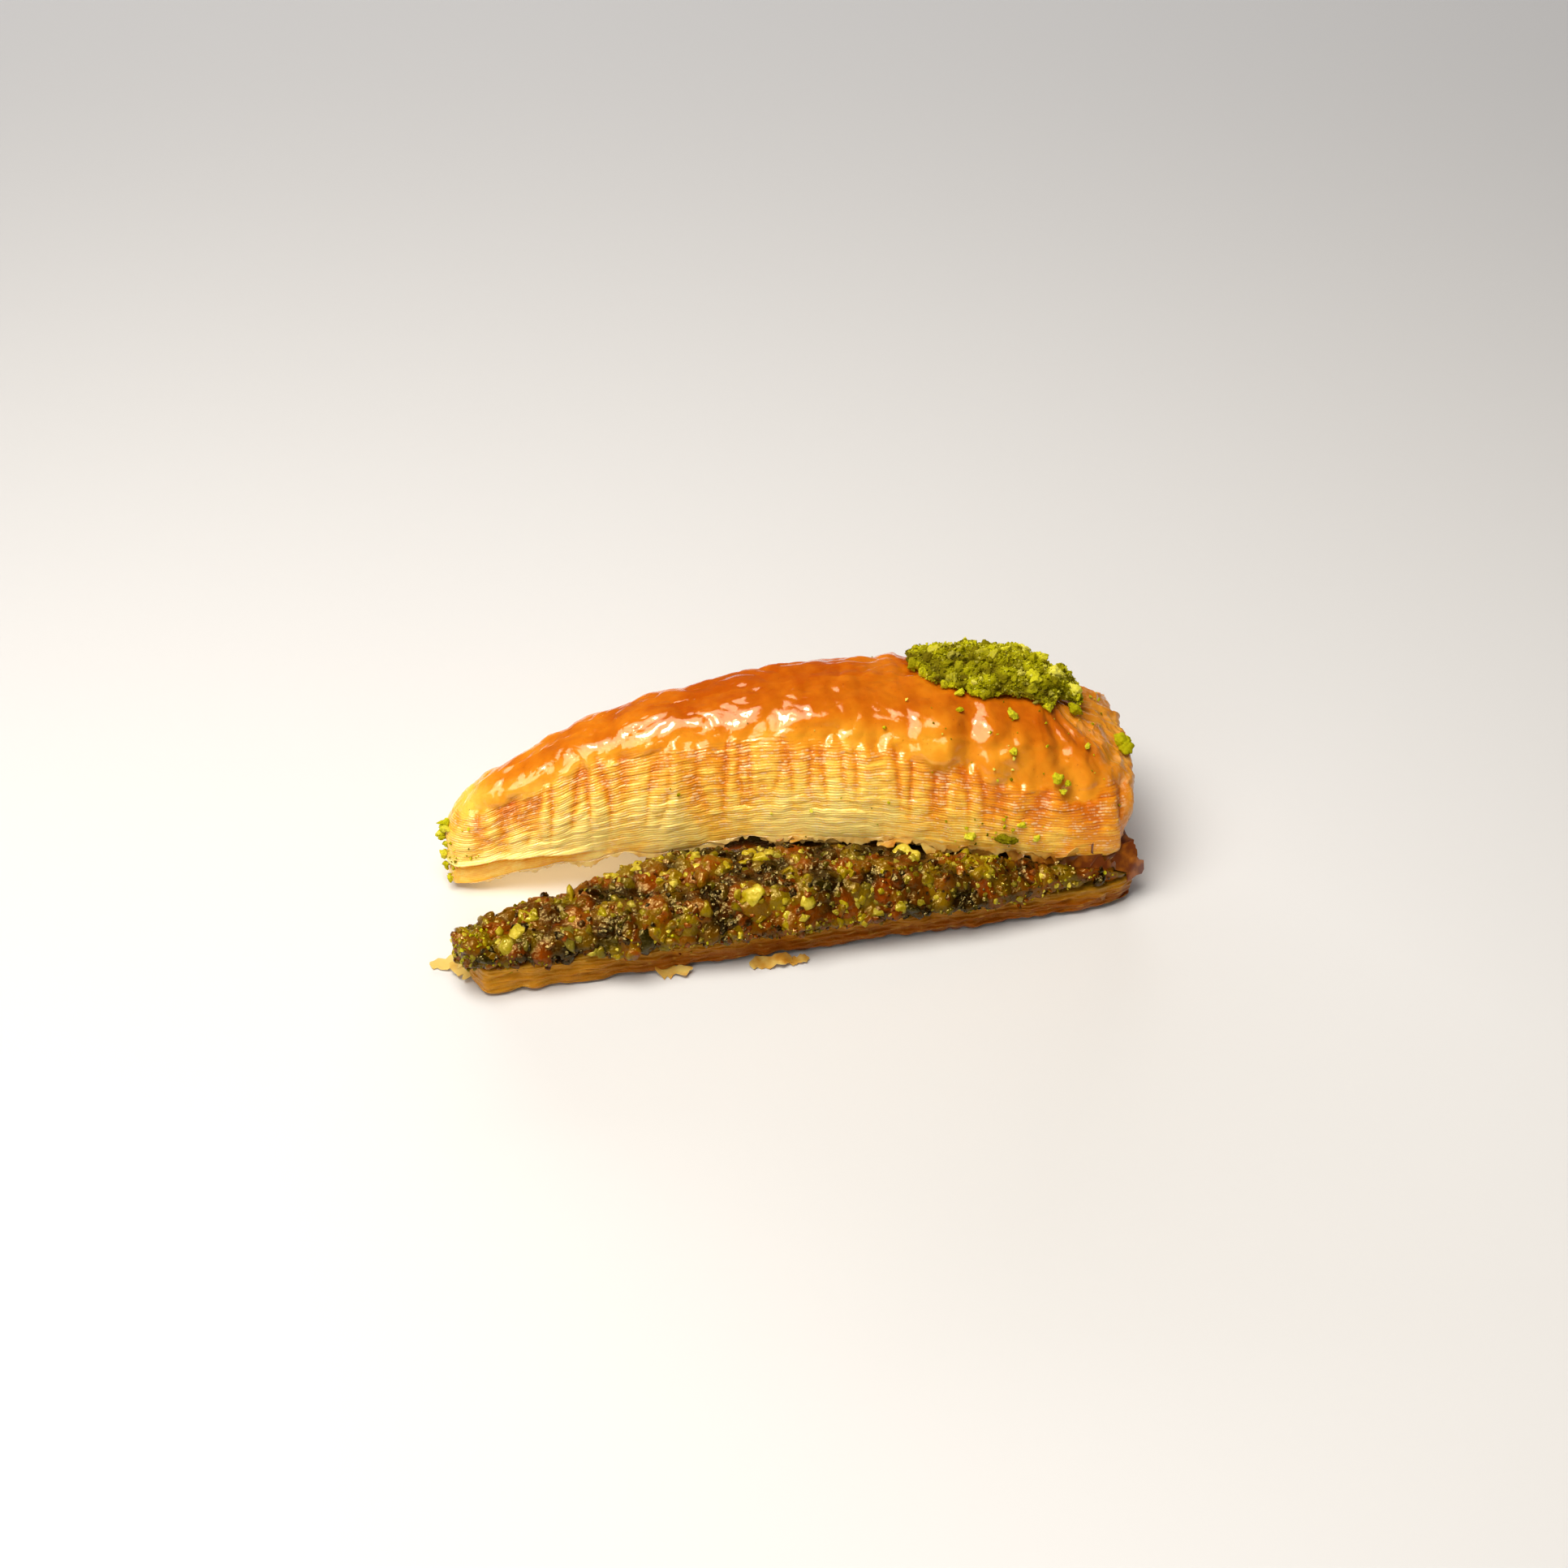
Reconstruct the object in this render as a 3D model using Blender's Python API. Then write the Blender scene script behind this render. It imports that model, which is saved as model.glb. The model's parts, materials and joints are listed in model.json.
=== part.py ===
"""Pistachio baklava slice: a long wedge cut from a round tray, whose puffed lid has sprung open.

A thin syrup-soaked base carries a layer of chopped pistachio. The lid, a thick stack of pastry
leaves, is still joined to them at the rim, has swung sideways about the rim's corner, and arches
down until its tip lies on the table. Ground pistachio is heaped on the lid's wide end.

Metres. +X runs along the base from its tip to the tray's rim and +Z is up. The origin is at the
middle of the whole slice's footprint, on the surface that it lies on.
"""

import math
from dataclasses import dataclass

import bmesh
import bpy
from mathutils import Matrix, Vector, noise

WEDGE_ANGLE = math.radians(16.4)  # between the knife's two cuts
RIM_BULGE = 0.003  # how far the tray's round rim bows out past the cut corners
RIM_CORNER = 0.014  # length over which the rim's two corners are rounded off
RIM_CORNER_DEPTH = 0.0035
CUT_WAVER = 0.0005  # how far a cut side strays from straight

BASE_LENGTH = 0.1590
BASE_TIP_WIDTH = 0.012
BASE_THICKNESS = 0.0078
BASE_CORNER = 0.0008

FILLING_SHORT = 0.005  # the filling ends this far before the base's rim
FILLING_TIP_OVERHANG = 0.0025
FILLING_INSET = 0.0004  # the filling's sides behind the base's sides
FILLING_CORNER = 0.0022
FILLING_LUMPS = 0.0016
LUMP_SIZE = 0.0065
# Share of the length from the tip, height of the filling's top above the table.
FILLING_TOP = ((0.0, 0.0136), (0.12, 0.0140), (0.30, 0.0158), (0.50, 0.0178), (0.75, 0.0162), (1.0, 0.0108))

LID_LENGTH = 0.1622
LID_TIP_WIDTH = 0.0165
LID_TURN = math.radians(-14.8)  # the lid's axis, turned from the base's about the rim's corner
LID_HINGE_SHIFT = (-0.0029, 0.0018)  # the lid's corner, from the base's corner
# Share of the length from the tip, height of the underside, thickness in the middle.
LID_STATIONS = (
    (0.00, 0.0000, 0.0195),
    (0.10, 0.0050, 0.0258),
    (0.25, 0.0106, 0.0318),
    (0.42, 0.0152, 0.0336),
    (0.60, 0.0176, 0.0334),
    (0.76, 0.0148, 0.0336),
    (0.90, 0.0128, 0.0322),
    (1.00, 0.0116, 0.0300),
)
LID_SHOULDER = 3.3  # exponent of the section across: 2 is an ellipse, more is squarer
LID_CROWN = 2.4  # exponent of the section upwards
LID_BLISTERS = 0.0007
BLISTER_SIZE = 0.014
LID_RIM_ROUND = 0.024  # length over which the crust rolls down to the rim
LID_RIM_KEEP = 0.64  # share of the thickness left at the rim
LID_RIM_LEAN = 0.0045  # how far the rim's wall leans out from its foot to its top
LID_TIP_ROUND = 0.014
LID_TIP_KEEP = 0.70
UNDERSIDE_HOLLOW = 0.0010  # how far the lid's underside is domed up in the middle

# Ground pistachio, placed by the lid's own length and width.
HEAP_CENTRE = (0.1340, 0.0030)
HEAP_LENGTH = 0.043
HEAP_WIDTH = 0.0255
HEAP_HEIGHT = 0.0047
HEAP_EDGE = 0.0009
HEAP_LUMPS = 0.0011
HEAP_TURN = math.radians(-9)

TOUCH_GAP = 0.0004  # between two pieces that rest on each other
PRESS_MARGIN = 0.0022  # the filling is pressed down this far outside the lid's edge

BASE_RINGS = 44
FILLING_RINGS = 66
LID_RINGS = 62
HEAP_RINGS = 26


@dataclass(frozen=True)
class Wedge:
    """The plan of a wedge: x runs from the middle of its tip to its rim, y across it."""

    length: float
    tip_width: float
    tip_bulge: float

    def half_width(self, share):
        """Half the width at a share of the length from the tip, less at the rim's round corners."""
        along = share * self.length
        straight = self.tip_width / 2 + along * math.tan(WEDGE_ANGLE / 2)
        turn = max(0.0, 1 - (self.length - along) / RIM_CORNER)
        return straight - RIM_CORNER_DEPTH * (1 - math.sqrt(1 - turn**2))

    def bow(self, share, across):
        """How far a section bows along x: out at the tip, not at all midway, out at the rim.

        across is from -1 at one cut side to 1 at the other.
        """
        return (RIM_BULGE * share**2 - self.tip_bulge * (1 - share) ** 4) * (1 - across**2)

    def share_at(self, x, y):
        """The share of the length whose bowed section passes through a point of the plan."""
        share = x / self.length
        for _ in range(3):
            share = min(max(share, 0.0), 1.0)
            across = min(abs(y) / self.half_width(share), 1.0)
            share = (x - self.bow(share, across)) / self.length
        return min(max(share, 0.0), 1.0)


BASE = Wedge(BASE_LENGTH, BASE_TIP_WIDTH, tip_bulge=0.002)
LID = Wedge(LID_LENGTH, LID_TIP_WIDTH, tip_bulge=0.002)


def curve_through(stations, column):
    """A smooth function of the share of the length, through one column of the stations."""
    shares = [row[0] for row in stations]
    values = [row[column] for row in stations]
    last = len(shares) - 1

    def slope(i):
        low, high = max(i - 1, 0), min(i + 1, last)
        return (values[high] - values[low]) / (shares[high] - shares[low])

    def value(share):
        share = min(max(share, 0.0), 1.0)
        i = next(k for k in range(last) if share <= shares[k + 1])
        span = shares[i + 1] - shares[i]
        t = (share - shares[i]) / span
        start = (2 * t**3 - 3 * t**2 + 1) * values[i] + (t**3 - 2 * t**2 + t) * span * slope(i)
        end = (3 * t**2 - 2 * t**3) * values[i + 1] + (t**3 - t**2) * span * slope(i + 1)
        return start + end

    return value


filling_top = curve_through(FILLING_TOP, 1)
lid_underside = curve_through(LID_STATIONS, 1)
lid_thickness = curve_through(LID_STATIONS, 2)


def waver(along, height, side, seed):
    """How far a cut side strays outwards, for side -1 or 1."""
    return CUT_WAVER * noise.noise(Vector((along * 70 + seed, height * 60, side * 5.0)))


def loft(name, rings):
    """A closed solid with flat ends, through rings that run anticlockwise seen from the far end."""
    mesh = bmesh.new()
    loops = [[mesh.verts.new(point) for point in ring] for ring in rings]
    count = len(rings[0])
    for near, far in zip(loops, loops[1:]):
        for i in range(count):
            j = (i + 1) % count
            mesh.faces.new((near[i], near[j], far[j], far[i]))
    mesh.faces.new(loops[0][::-1])
    mesh.faces.new(loops[-1])
    data = bpy.data.meshes.new(name)
    mesh.to_mesh(data)
    mesh.free()
    data.shade_smooth()
    data.set_sharp_from_angle(angle=math.radians(50))
    return bpy.data.objects.new(name, data)


def slab_outline(half, low, high, corner, flat_points):
    """Points (y, z) round a flat slab with rounded edges, from the near lower edge anticlockwise."""
    corner = min(corner, (high - low) * 0.45, half * 0.45)
    centres = (
        (-half + corner, low + corner, math.pi),
        (half - corner, low + corner, 1.5 * math.pi),
        (half - corner, high - corner, 0.0),
        (-half + corner, high - corner, 0.5 * math.pi),
    )
    points = []
    for index, (y, z, start) in enumerate(centres):
        for step in range(3):
            angle = start + step * math.pi / 4
            points.append((y + corner * math.cos(angle), z + corner * math.sin(angle)))
        if index in (0, 2):
            here, there = points[-1], centres[index + 1][0]
            for step in range(1, flat_points):
                share = step / flat_points
                points.append((here[0] + (there - here[0]) * share, here[1]))
    return points


def make_base():
    """The soaked leaves under the filling: a flat wedge whose end follows the tray's rim."""
    rings = []
    for step in range(BASE_RINGS + 1):
        share = step / BASE_RINGS
        along = share * BASE.length
        half = BASE.half_width(share)
        ring = []
        for y, z in slab_outline(half, 0.0, BASE_THICKNESS, BASE_CORNER, 6):
            across = y / half
            y += across * waver(along, z, across, 3.0)
            ring.append(Vector((along + BASE.bow(share, across), y, z)))
        rings.append(ring)
    return loft("base_pastry", rings)


def hinge_points():
    """The rim's near corner in the base's plan and in the lid's plan, which lie over each other."""
    base = Vector((BASE.length, -BASE.half_width(1.0))) + Vector(LID_HINGE_SHIFT)
    return base, Vector((LID.length, -LID.half_width(1.0)))


def to_lid(x, y):
    """A point of the base's plan in the lid's plan."""
    base, lid = hinge_points()
    return Matrix.Rotation(-LID_TURN, 2) @ (Vector((x, y)) - base) + lid


def from_lid(x, y, z):
    """A point above the lid's plan, in the base's frame."""
    base, lid = hinge_points()
    plan = Matrix.Rotation(LID_TURN, 2) @ (Vector((x, y)) - lid) + base
    return Vector((plan.x, plan.y, z))


def end_rounding(share):
    """The share of its thickness that the lid keeps as its crust rolls down to the rim or the tip."""
    from_rim = max(0.0, 1 - (1 - share) * LID.length / LID_RIM_ROUND)
    from_tip = max(0.0, 1 - share * LID.length / LID_TIP_ROUND)
    at_rim = 1 - (1 - LID_RIM_KEEP) * from_rim**1.6
    at_tip = LID_TIP_KEEP + (1 - LID_TIP_KEEP) * math.sqrt(1 - from_tip**2)
    return at_rim * at_tip


def lid_top(share, across):
    """Height of the lid's crust above the table."""
    rise = max(0.0, 1 - abs(across) ** LID_SHOULDER) ** (1 / LID_CROWN)
    place = Vector((share * LID.length, across * LID.half_width(share), 0.0)) / BLISTER_SIZE
    blister = LID_BLISTERS * noise.noise(place) * rise
    return lid_underside(share) + lid_thickness(share) * end_rounding(share) * rise + blister


def crust_point(share, across):
    """A point on the lid's crust, whose wall at the rim leans outwards."""
    z = lid_top(share, across)
    y = across * (LID.half_width(share) + waver(share * LID.length, z, across, 11.0))
    lean = LID_RIM_LEAN * share**8 * (z - lid_underside(share)) / lid_thickness(share)
    return from_lid(share * LID.length + LID.bow(share, across) + lean, y, z)


def make_lid():
    """The puffed leaves: sections with a flat underside and a domed crust, swept along an arch."""
    crown_points, under_points = 26, 8
    rings = []
    for step in range(LID_RINGS + 1):
        share = step / LID_RINGS
        half = LID.half_width(share)
        hollow = UNDERSIDE_HOLLOW * min(1.0, share * LID.length / LID.tip_width)
        ring = []
        for i in range(crown_points + 1):
            angle = math.pi * i / crown_points
            across = math.copysign(abs(math.cos(angle)) ** (2 / LID_SHOULDER), math.cos(angle))
            ring.append(crust_point(share, across))
        for i in range(1, under_points):
            across = -1 + 2 * i / under_points
            z = lid_underside(share) + hollow * (1 - across**2)
            x = share * LID.length + LID.bow(share, across)
            ring.append(from_lid(x, across * half, z))
        rings.append(ring)
    return loft("top_pastry", rings)


def ceiling(x, y):
    """How high the filling may reach under the lid, which presses it down; high outside the lid."""
    spot = to_lid(x, y)
    share = LID.share_at(spot.x, spot.y)
    outside = max(0.0, abs(spot.y) - LID.half_width(share) - PRESS_MARGIN)
    return lid_underside(share) - TOUCH_GAP + outside


def make_filling():
    """The chopped pistachio: a lumpy layer on the base, pressed flat where the lid lies on it."""
    floor = BASE_THICKNESS + TOUCH_GAP
    start, end = -FILLING_TIP_OVERHANG, BASE.length - FILLING_SHORT
    rings = []
    for step in range(FILLING_RINGS + 1):
        share = step / FILLING_RINGS
        along = start + share * (end - start)
        base_share = max(along, 0.0) / BASE.length
        half = BASE.half_width(base_share) - FILLING_INSET
        high = filling_top(share)
        ring = []
        for y, z in slab_outline(half, floor, high, FILLING_CORNER, 9):
            x = along + BASE.bow(base_share, y / half)
            lump = noise.noise(Vector((x, y, z)) / LUMP_SIZE)
            lift = (z - floor) / (high - floor)
            z += FILLING_LUMPS * lump * lift
            y += FILLING_INSET * lump * lift * y / half
            z = max(floor, min(z, ceiling(x, y)))
            ring.append(Vector((x, y, z)))
        rings.append(ring)
    return loft("pistachio_filling", rings)


def make_heap():
    """The ground pistachio: a low uneven mound that follows the lid's crust."""
    side_points = 12
    turn = Matrix.Rotation(HEAP_TURN, 2)
    rings = []
    for step in range(HEAP_RINGS + 1):
        lengthwise = -1 + 2 * step / HEAP_RINGS
        reach = math.sqrt(1 - 0.97 * lengthwise**2)
        under, over = [], []
        for i in range(side_points + 1):
            sideways = -1 + 2 * i / side_points
            offset = turn @ Vector((lengthwise * HEAP_LENGTH / 2, sideways * reach * HEAP_WIDTH / 2))
            edge = 1 + 0.22 * noise.noise(Vector((offset.x, offset.y, 0.0)) / 0.009)
            spot = Vector(HEAP_CENTRE) + offset * edge
            share = LID.share_at(spot.x, spot.y)
            crust = crust_point(share, spot.y / LID.half_width(share))
            mound = (1 - lengthwise**2) ** 0.5 * (1 - sideways**2) ** 0.6
            lump = HEAP_LUMPS * noise.noise(Vector((spot.x, spot.y, 4.0)) / 0.005)
            height = HEAP_EDGE + (HEAP_HEIGHT + lump) * mound
            under.append(crust + Vector((0.0, 0.0, TOUCH_GAP)))
            over.append(crust + Vector((0.0, 0.0, TOUCH_GAP + height)))
        rings.append(under + over[::-1])
    return loft("pistachio_powder", rings)


def finish(piece, colour, roughness):
    """Gives a piece its own material, whose colour is linear."""
    material = bpy.data.materials.new(piece.name)
    material.use_nodes = True
    shader = material.node_tree.nodes["Principled BSDF"]
    shader.inputs["Base Color"].default_value = (*colour, 1.0)
    shader.inputs["Roughness"].default_value = roughness
    shader.inputs["Metallic"].default_value = 0.0
    piece.data.materials.append(material)


def centre_footprint(pieces):
    """Moves the whole slice so that the origin is at the middle of its footprint."""
    points = [vertex.co for piece in pieces for vertex in piece.data.vertices]
    middle = [(min(p[i] for p in points) + max(p[i] for p in points)) / 2 for i in (0, 1)]
    for piece in pieces:
        piece.data.transform(Matrix.Translation((-middle[0], -middle[1], 0.0)))


def main():
    """Builds the four pieces of the slice."""
    for old in list(bpy.data.objects):
        bpy.data.objects.remove(old)
    slice_parts = bpy.data.collections.new("baklava_slice")
    bpy.context.scene.collection.children.link(slice_parts)

    base, filling, lid, heap = make_base(), make_filling(), make_lid(), make_heap()
    finish(base, colour=(0.42, 0.18, 0.035), roughness=0.25)
    finish(filling, colour=(0.16, 0.14, 0.02), roughness=0.3)
    finish(lid, colour=(0.78, 0.36, 0.07), roughness=0.22)
    finish(heap, colour=(0.24, 0.33, 0.03), roughness=0.8)
    pieces = (base, filling, lid, heap)
    centre_footprint(pieces)
    for piece in pieces:
        slice_parts.objects.link(piece)


main()
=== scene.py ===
"""The looks of a pistachio baklava slice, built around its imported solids.

Each of the slice's four solids is wrapped in a fine grid of points, which is pushed in and out to
give the pastry its leaves, folds and blisters and the nuts their lumps. Chopped pistachio, ground
pistachio, crumbs and torn flakes are then scattered on those surfaces as real meshes.
"""

import json
import logging
import math
from dataclasses import dataclass, field, replace
from enum import Enum
from typing import Any

import bmesh
import bpy
import numpy as np
from mathutils import Euler, Matrix, Vector
from mathutils.bvhtree import BVHTree

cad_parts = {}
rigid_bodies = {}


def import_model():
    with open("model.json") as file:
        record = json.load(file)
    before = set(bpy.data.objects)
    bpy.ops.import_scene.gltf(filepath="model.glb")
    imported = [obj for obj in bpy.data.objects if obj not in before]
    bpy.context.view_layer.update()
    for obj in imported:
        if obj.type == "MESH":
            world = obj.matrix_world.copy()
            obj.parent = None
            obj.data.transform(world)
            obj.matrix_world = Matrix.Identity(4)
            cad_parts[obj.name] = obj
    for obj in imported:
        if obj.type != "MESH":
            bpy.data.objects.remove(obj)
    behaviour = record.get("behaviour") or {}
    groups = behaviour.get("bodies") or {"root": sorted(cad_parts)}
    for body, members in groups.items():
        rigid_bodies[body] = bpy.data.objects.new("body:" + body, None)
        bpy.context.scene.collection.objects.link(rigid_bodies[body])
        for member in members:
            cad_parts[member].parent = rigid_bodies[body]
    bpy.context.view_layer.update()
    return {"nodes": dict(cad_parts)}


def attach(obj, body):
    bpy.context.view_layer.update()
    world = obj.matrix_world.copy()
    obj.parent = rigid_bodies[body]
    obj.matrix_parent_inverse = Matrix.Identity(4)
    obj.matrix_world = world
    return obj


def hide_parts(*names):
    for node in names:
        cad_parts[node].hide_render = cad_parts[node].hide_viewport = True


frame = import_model()
LOG = logging.getLogger("baklava")

MM = 0.001
CENTIMETRE = 10 * MM
TINY = 0.001 * MM
BODY = "root"


class Node(Enum):
    """The slice's solids."""

    BASE = "base_pastry"
    FILLING = "pistachio_filling"
    LID = "top_pastry"
    HEAP = "pistachio_powder"


class Slot(Enum):
    """The record's material slots."""

    SOAKED = "soaked_pastry"
    CHOPPED = "chopped_pistachio"
    BAKED = "baked_pastry"
    GROUND = "ground_pistachio"


def at(x: Any, y: Any = 0.0, z: Any = 0.0) -> np.ndarray:
    """Places in space from their three coordinates, each a number or an array."""
    return np.stack(np.broadcast_arrays(x, y, z), axis=-1).astype(float)


def ease(none: float, full: float, value: np.ndarray) -> np.ndarray:
    """A smooth step from 0 at one value to 1 at another, which may be the smaller one."""
    share = np.clip((value - none) / (full - none), 0.0, 1.0)
    return share * share * (3 - 2 * share)


def hump(middle: float, reach: float, value: np.ndarray) -> np.ndarray:
    """1 at the middle, falling smoothly to 0 over a reach on either side."""
    return np.exp(-(((value - middle) / reach) ** 2))


class Noise:
    """Smooth random numbers over space, the same on every run.

    Attributes:
        CELLS: how many random slopes there are, a power of two.
        GAIN: what brings the noise out to about -1 and 1.
        STRAY: how far a lump may lie from the middle of its cell, in cells.
    """

    CELLS = 1024
    GAIN = 1.5
    STRAY = 0.45

    def __init__(self, seed: int) -> None:
        """Draws the lattice's slopes.

        Args:
            seed: any whole number; each seed gives another pattern.
        """
        draw = np.random.default_rng(seed)
        self.order = draw.permutation(self.CELLS)
        slopes = draw.normal(size=(self.CELLS, 3))
        self.slopes = slopes / np.linalg.norm(slopes, axis=1, keepdims=True)

    def _key(self, cell: np.ndarray) -> np.ndarray:
        """A random index for each cell of the lattice.

        Args:
            cell: whole coordinates along the last axis.

        Returns:
            One index into the slopes for each cell.
        """
        order, last = self.order, self.CELLS - 1
        row = order[cell[..., 0] & last] + cell[..., 1]
        return order[(order[row & last] + cell[..., 2]) & last]

    def __call__(self, place: np.ndarray, size: Any) -> np.ndarray:
        """Smooth noise from about -1 to 1.

        Args:
            place: points, with their coordinates along the last axis.
            size: the width of a bump, one number or one for each coordinate.

        Returns:
            One number for each point.
        """
        scaled = place / size
        cell = np.floor(scaled).astype(int)
        inside = scaled - cell
        blend = inside**3 * (inside * (inside * 6 - 15) + 10)
        total = np.zeros(place.shape[:-1])
        for corner in np.ndindex(2, 2, 2):
            weight = np.prod(np.where(corner, blend, 1 - blend), axis=-1)
            slope = self.slopes[self._key(cell + corner)]
            total += weight * ((inside - corner) * slope).sum(axis=-1)
        return self.GAIN * total

    def lumps(self, place: np.ndarray, size: Any) -> tuple[np.ndarray, np.ndarray]:
        """A crowd of rounded lumps.

        Args:
            place: points, with their coordinates along the last axis.
            size: the spacing of the lumps, one number or one for each coordinate.

        Returns:
            The distance to the nearest lump's middle in spacings, and that lump's random number.
        """
        scaled = place / size
        cell = np.floor(scaled).astype(int)
        nearest = np.full(place.shape[:-1], np.inf)
        number = np.zeros(place.shape[:-1])
        for step in np.ndindex(3, 3, 3):
            neighbour = cell + step - 1
            key = self._key(neighbour)
            middle = neighbour + 0.5 + self.STRAY * self.slopes[key]
            distance = np.linalg.norm(scaled - middle, axis=-1)
            closer = distance < nearest
            nearest = np.where(closer, distance, nearest)
            number = np.where(closer, key / self.CELLS, number)
        return nearest, number


def blur(values: np.ndarray, passes: int, axis: int, loop: bool) -> np.ndarray:
    """Smooths an array along one axis.

    Args:
        values: the array.
        passes: how often each value is averaged with its two neighbours.
        axis: the axis along which to smooth.
        loop: whether the axis closes on itself; otherwise its two ends stay put.

    Returns:
        The smoothed array.
    """
    values = np.moveaxis(values.copy(), axis, 0)
    for _ in range(passes):
        if loop:
            values = (np.roll(values, 1, 0) + 2 * values + np.roll(values, -1, 0)) / 4
        else:
            values[1:-1] = (values[:-2] + 2 * values[1:-1] + values[2:]) / 4
    return np.moveaxis(values, 0, axis)


@dataclass
class Wrap:
    """A grid of points that wraps a solid.

    Its columns go round the solid in plan, from the middle of its tip along the near side. Its rows
    run from the middle of the underside out to the lower edge, up the side, and over the top to the
    ridge, where the near and the far columns meet.

    Args:
        node: the solid.
        tip_inset: how far from the tip the line inside the solid starts.
        rim_inset: how far from the rim that line ends.
        pitch: the spacing of the columns round the outline.
        under_rows: how many rows lie on the underside.
        side_rows: how many rows go up the side.
        top_rows: how many rows go over the top.
        shoulder: where the side's rows end, as a share of the height.
        softening: how far neighbouring columns are evened out.
        rays: how many points are measured along each column.
        spine_points: how many points are measured along the line inside the solid.
        outline_points: how many points are measured along half the outline.
    """

    node: Node
    tip_inset: float
    rim_inset: float
    pitch: float
    under_rows: int
    side_rows: int
    top_rows: int
    shoulder: float
    softening: int = 18
    rays: int = 97
    spine_points: int = 80
    outline_points: int = 400

    def __post_init__(self) -> None:
        """Measures the solid and lays the grid."""
        mesh = frame["nodes"][self.node.value].data
        corners = np.array([tuple(vertex.co) for vertex in mesh.vertices])
        faces = [tuple(face.vertices) for face in mesh.polygons]
        self.tree = BVHTree.FromPolygons(corners.tolist(), faces)
        plan = corners[:, :2]
        middle = plan.mean(axis=0)
        _, directions = np.linalg.eigh(np.cov((plan - middle).T))
        self.axis = directions[:, 1] * np.sign(directions[0, 1])
        self.aside = np.array((-self.axis[1], self.axis[0]))
        along = (plan - middle) @ self.axis
        self.tip = middle + along.min() * self.axis
        self.length = float(along.max() - along.min())
        self._find_spine()
        self._lay_columns()
        self._lay_rows()

    def hit(self, start: np.ndarray, way: np.ndarray) -> np.ndarray:
        """Where a ray from inside the solid meets its surface."""
        place, _, _, _ = self.tree.ray_cast(Vector(start), Vector(way))
        return np.array(start if place is None else place)

    def _find_spine(self) -> None:
        """Finds the line along the solid at its middle height."""
        ends = (self.tip_inset, self.length - self.rim_inset)
        self.stations = np.linspace(*ends, self.spine_points)
        far_off = 1.0
        heights = []
        for along in self.stations:
            spot = self.tip + along * self.axis
            top = self.tree.ray_cast(Vector((*spot, far_off)), Vector((0, 0, -1)))[0].z
            low = self.tree.ray_cast(Vector((*spot, -far_off)), Vector((0, 0, 1)))[0].z
            heights.append((low + top) / 2)
        self.heights = np.array(heights)

    def _column(self, share: float) -> tuple[np.ndarray, np.ndarray]:
        """Where a column starts inside the solid, and its heading.

        Args:
            share: 0 at the tip's middle, 1 to 2 along the near side, 3 at the rim's middle, 4 to 5
                back along the far side, and 6 once round.

        Returns:
            The place, and a level direction one unit long.
        """
        first, last = self.stations[0], self.stations[-1]
        along = np.interp(share, (1, 2, 4, 5), (first, last, last, first))
        turn = np.interp(share, (0, 1, 2, 4, 5, 6), (-180, -90, -90, 90, 90, 180))
        spot = self.tip + along * self.axis
        start = np.array((*spot, np.interp(along, self.stations, self.heights)))
        angle = math.radians(turn)
        heading = math.cos(angle) * self.axis + math.sin(angle) * self.aside
        return start, heading

    def _lay_columns(self) -> None:
        """Spaces the columns evenly round the solid's outline, in mirrored pairs."""
        shares = np.linspace(0, 3, self.outline_points)
        outline = np.array([self.hit(s, (*h, 0.0)) for s, h in map(self._column, shares)])
        steps = np.linalg.norm(np.diff(outline, axis=0), axis=1)
        reach = np.concatenate(([0.0], np.cumsum(steps)))
        half = int(round(reach[-1] / self.pitch))
        self.half = half
        near = np.interp(np.linspace(0, reach[-1], half + 1), reach, shares)
        once_round = 6
        self.shares = np.concatenate((near, once_round - near[-2:0:-1]))
        self.round = np.arange(2 * half) * reach[-1] / half
        self.mirror = (-np.arange(2 * half)) % (2 * half)

    def _lay_rows(self) -> None:
        """Finds each column's section and spaces its rows."""
        turns = np.linspace(-math.pi / 2, math.pi / 2, self.rays)
        starts, sections = [], []
        for share in self.shares:
            start, heading = self._column(share)
            wide = np.linalg.norm(self.hit(start, (*heading, 0.0)) - start)
            tall = np.linalg.norm(self.hit(start, (0, 0, 1)) - start)
            ways = at(np.cos(turns) * wide * heading[0], np.cos(turns) * wide * heading[1],
                      np.sin(turns) * tall)
            sections.append([self.hit(start, way) for way in ways])
            starts.append(start)
        self.spine = np.array(starts)
        section = blur(np.array(sections), self.softening, axis=0, loop=True)
        section = blur(section, 5, axis=1, loop=False)
        out = section - self.spine[:, None]
        away = np.linalg.norm(out[..., :2], axis=-1)
        edges = np.argmax(away - out[..., 2], axis=1).astype(float)
        edges = np.round(blur(edges, 8, axis=0, loop=True)).astype(int)
        columns = [self._space(line, edge) for line, edge in zip(section, edges)]
        grid = np.swapaxes(np.array(columns), 0, 1)
        self.grid = blur(blur(grid, 10, axis=0, loop=False), 3, axis=1, loop=True)
        for row in (0, -1):
            self.grid[row] = (self.grid[row] + self.grid[row, self.mirror]) / 2
        self._measure()

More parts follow.
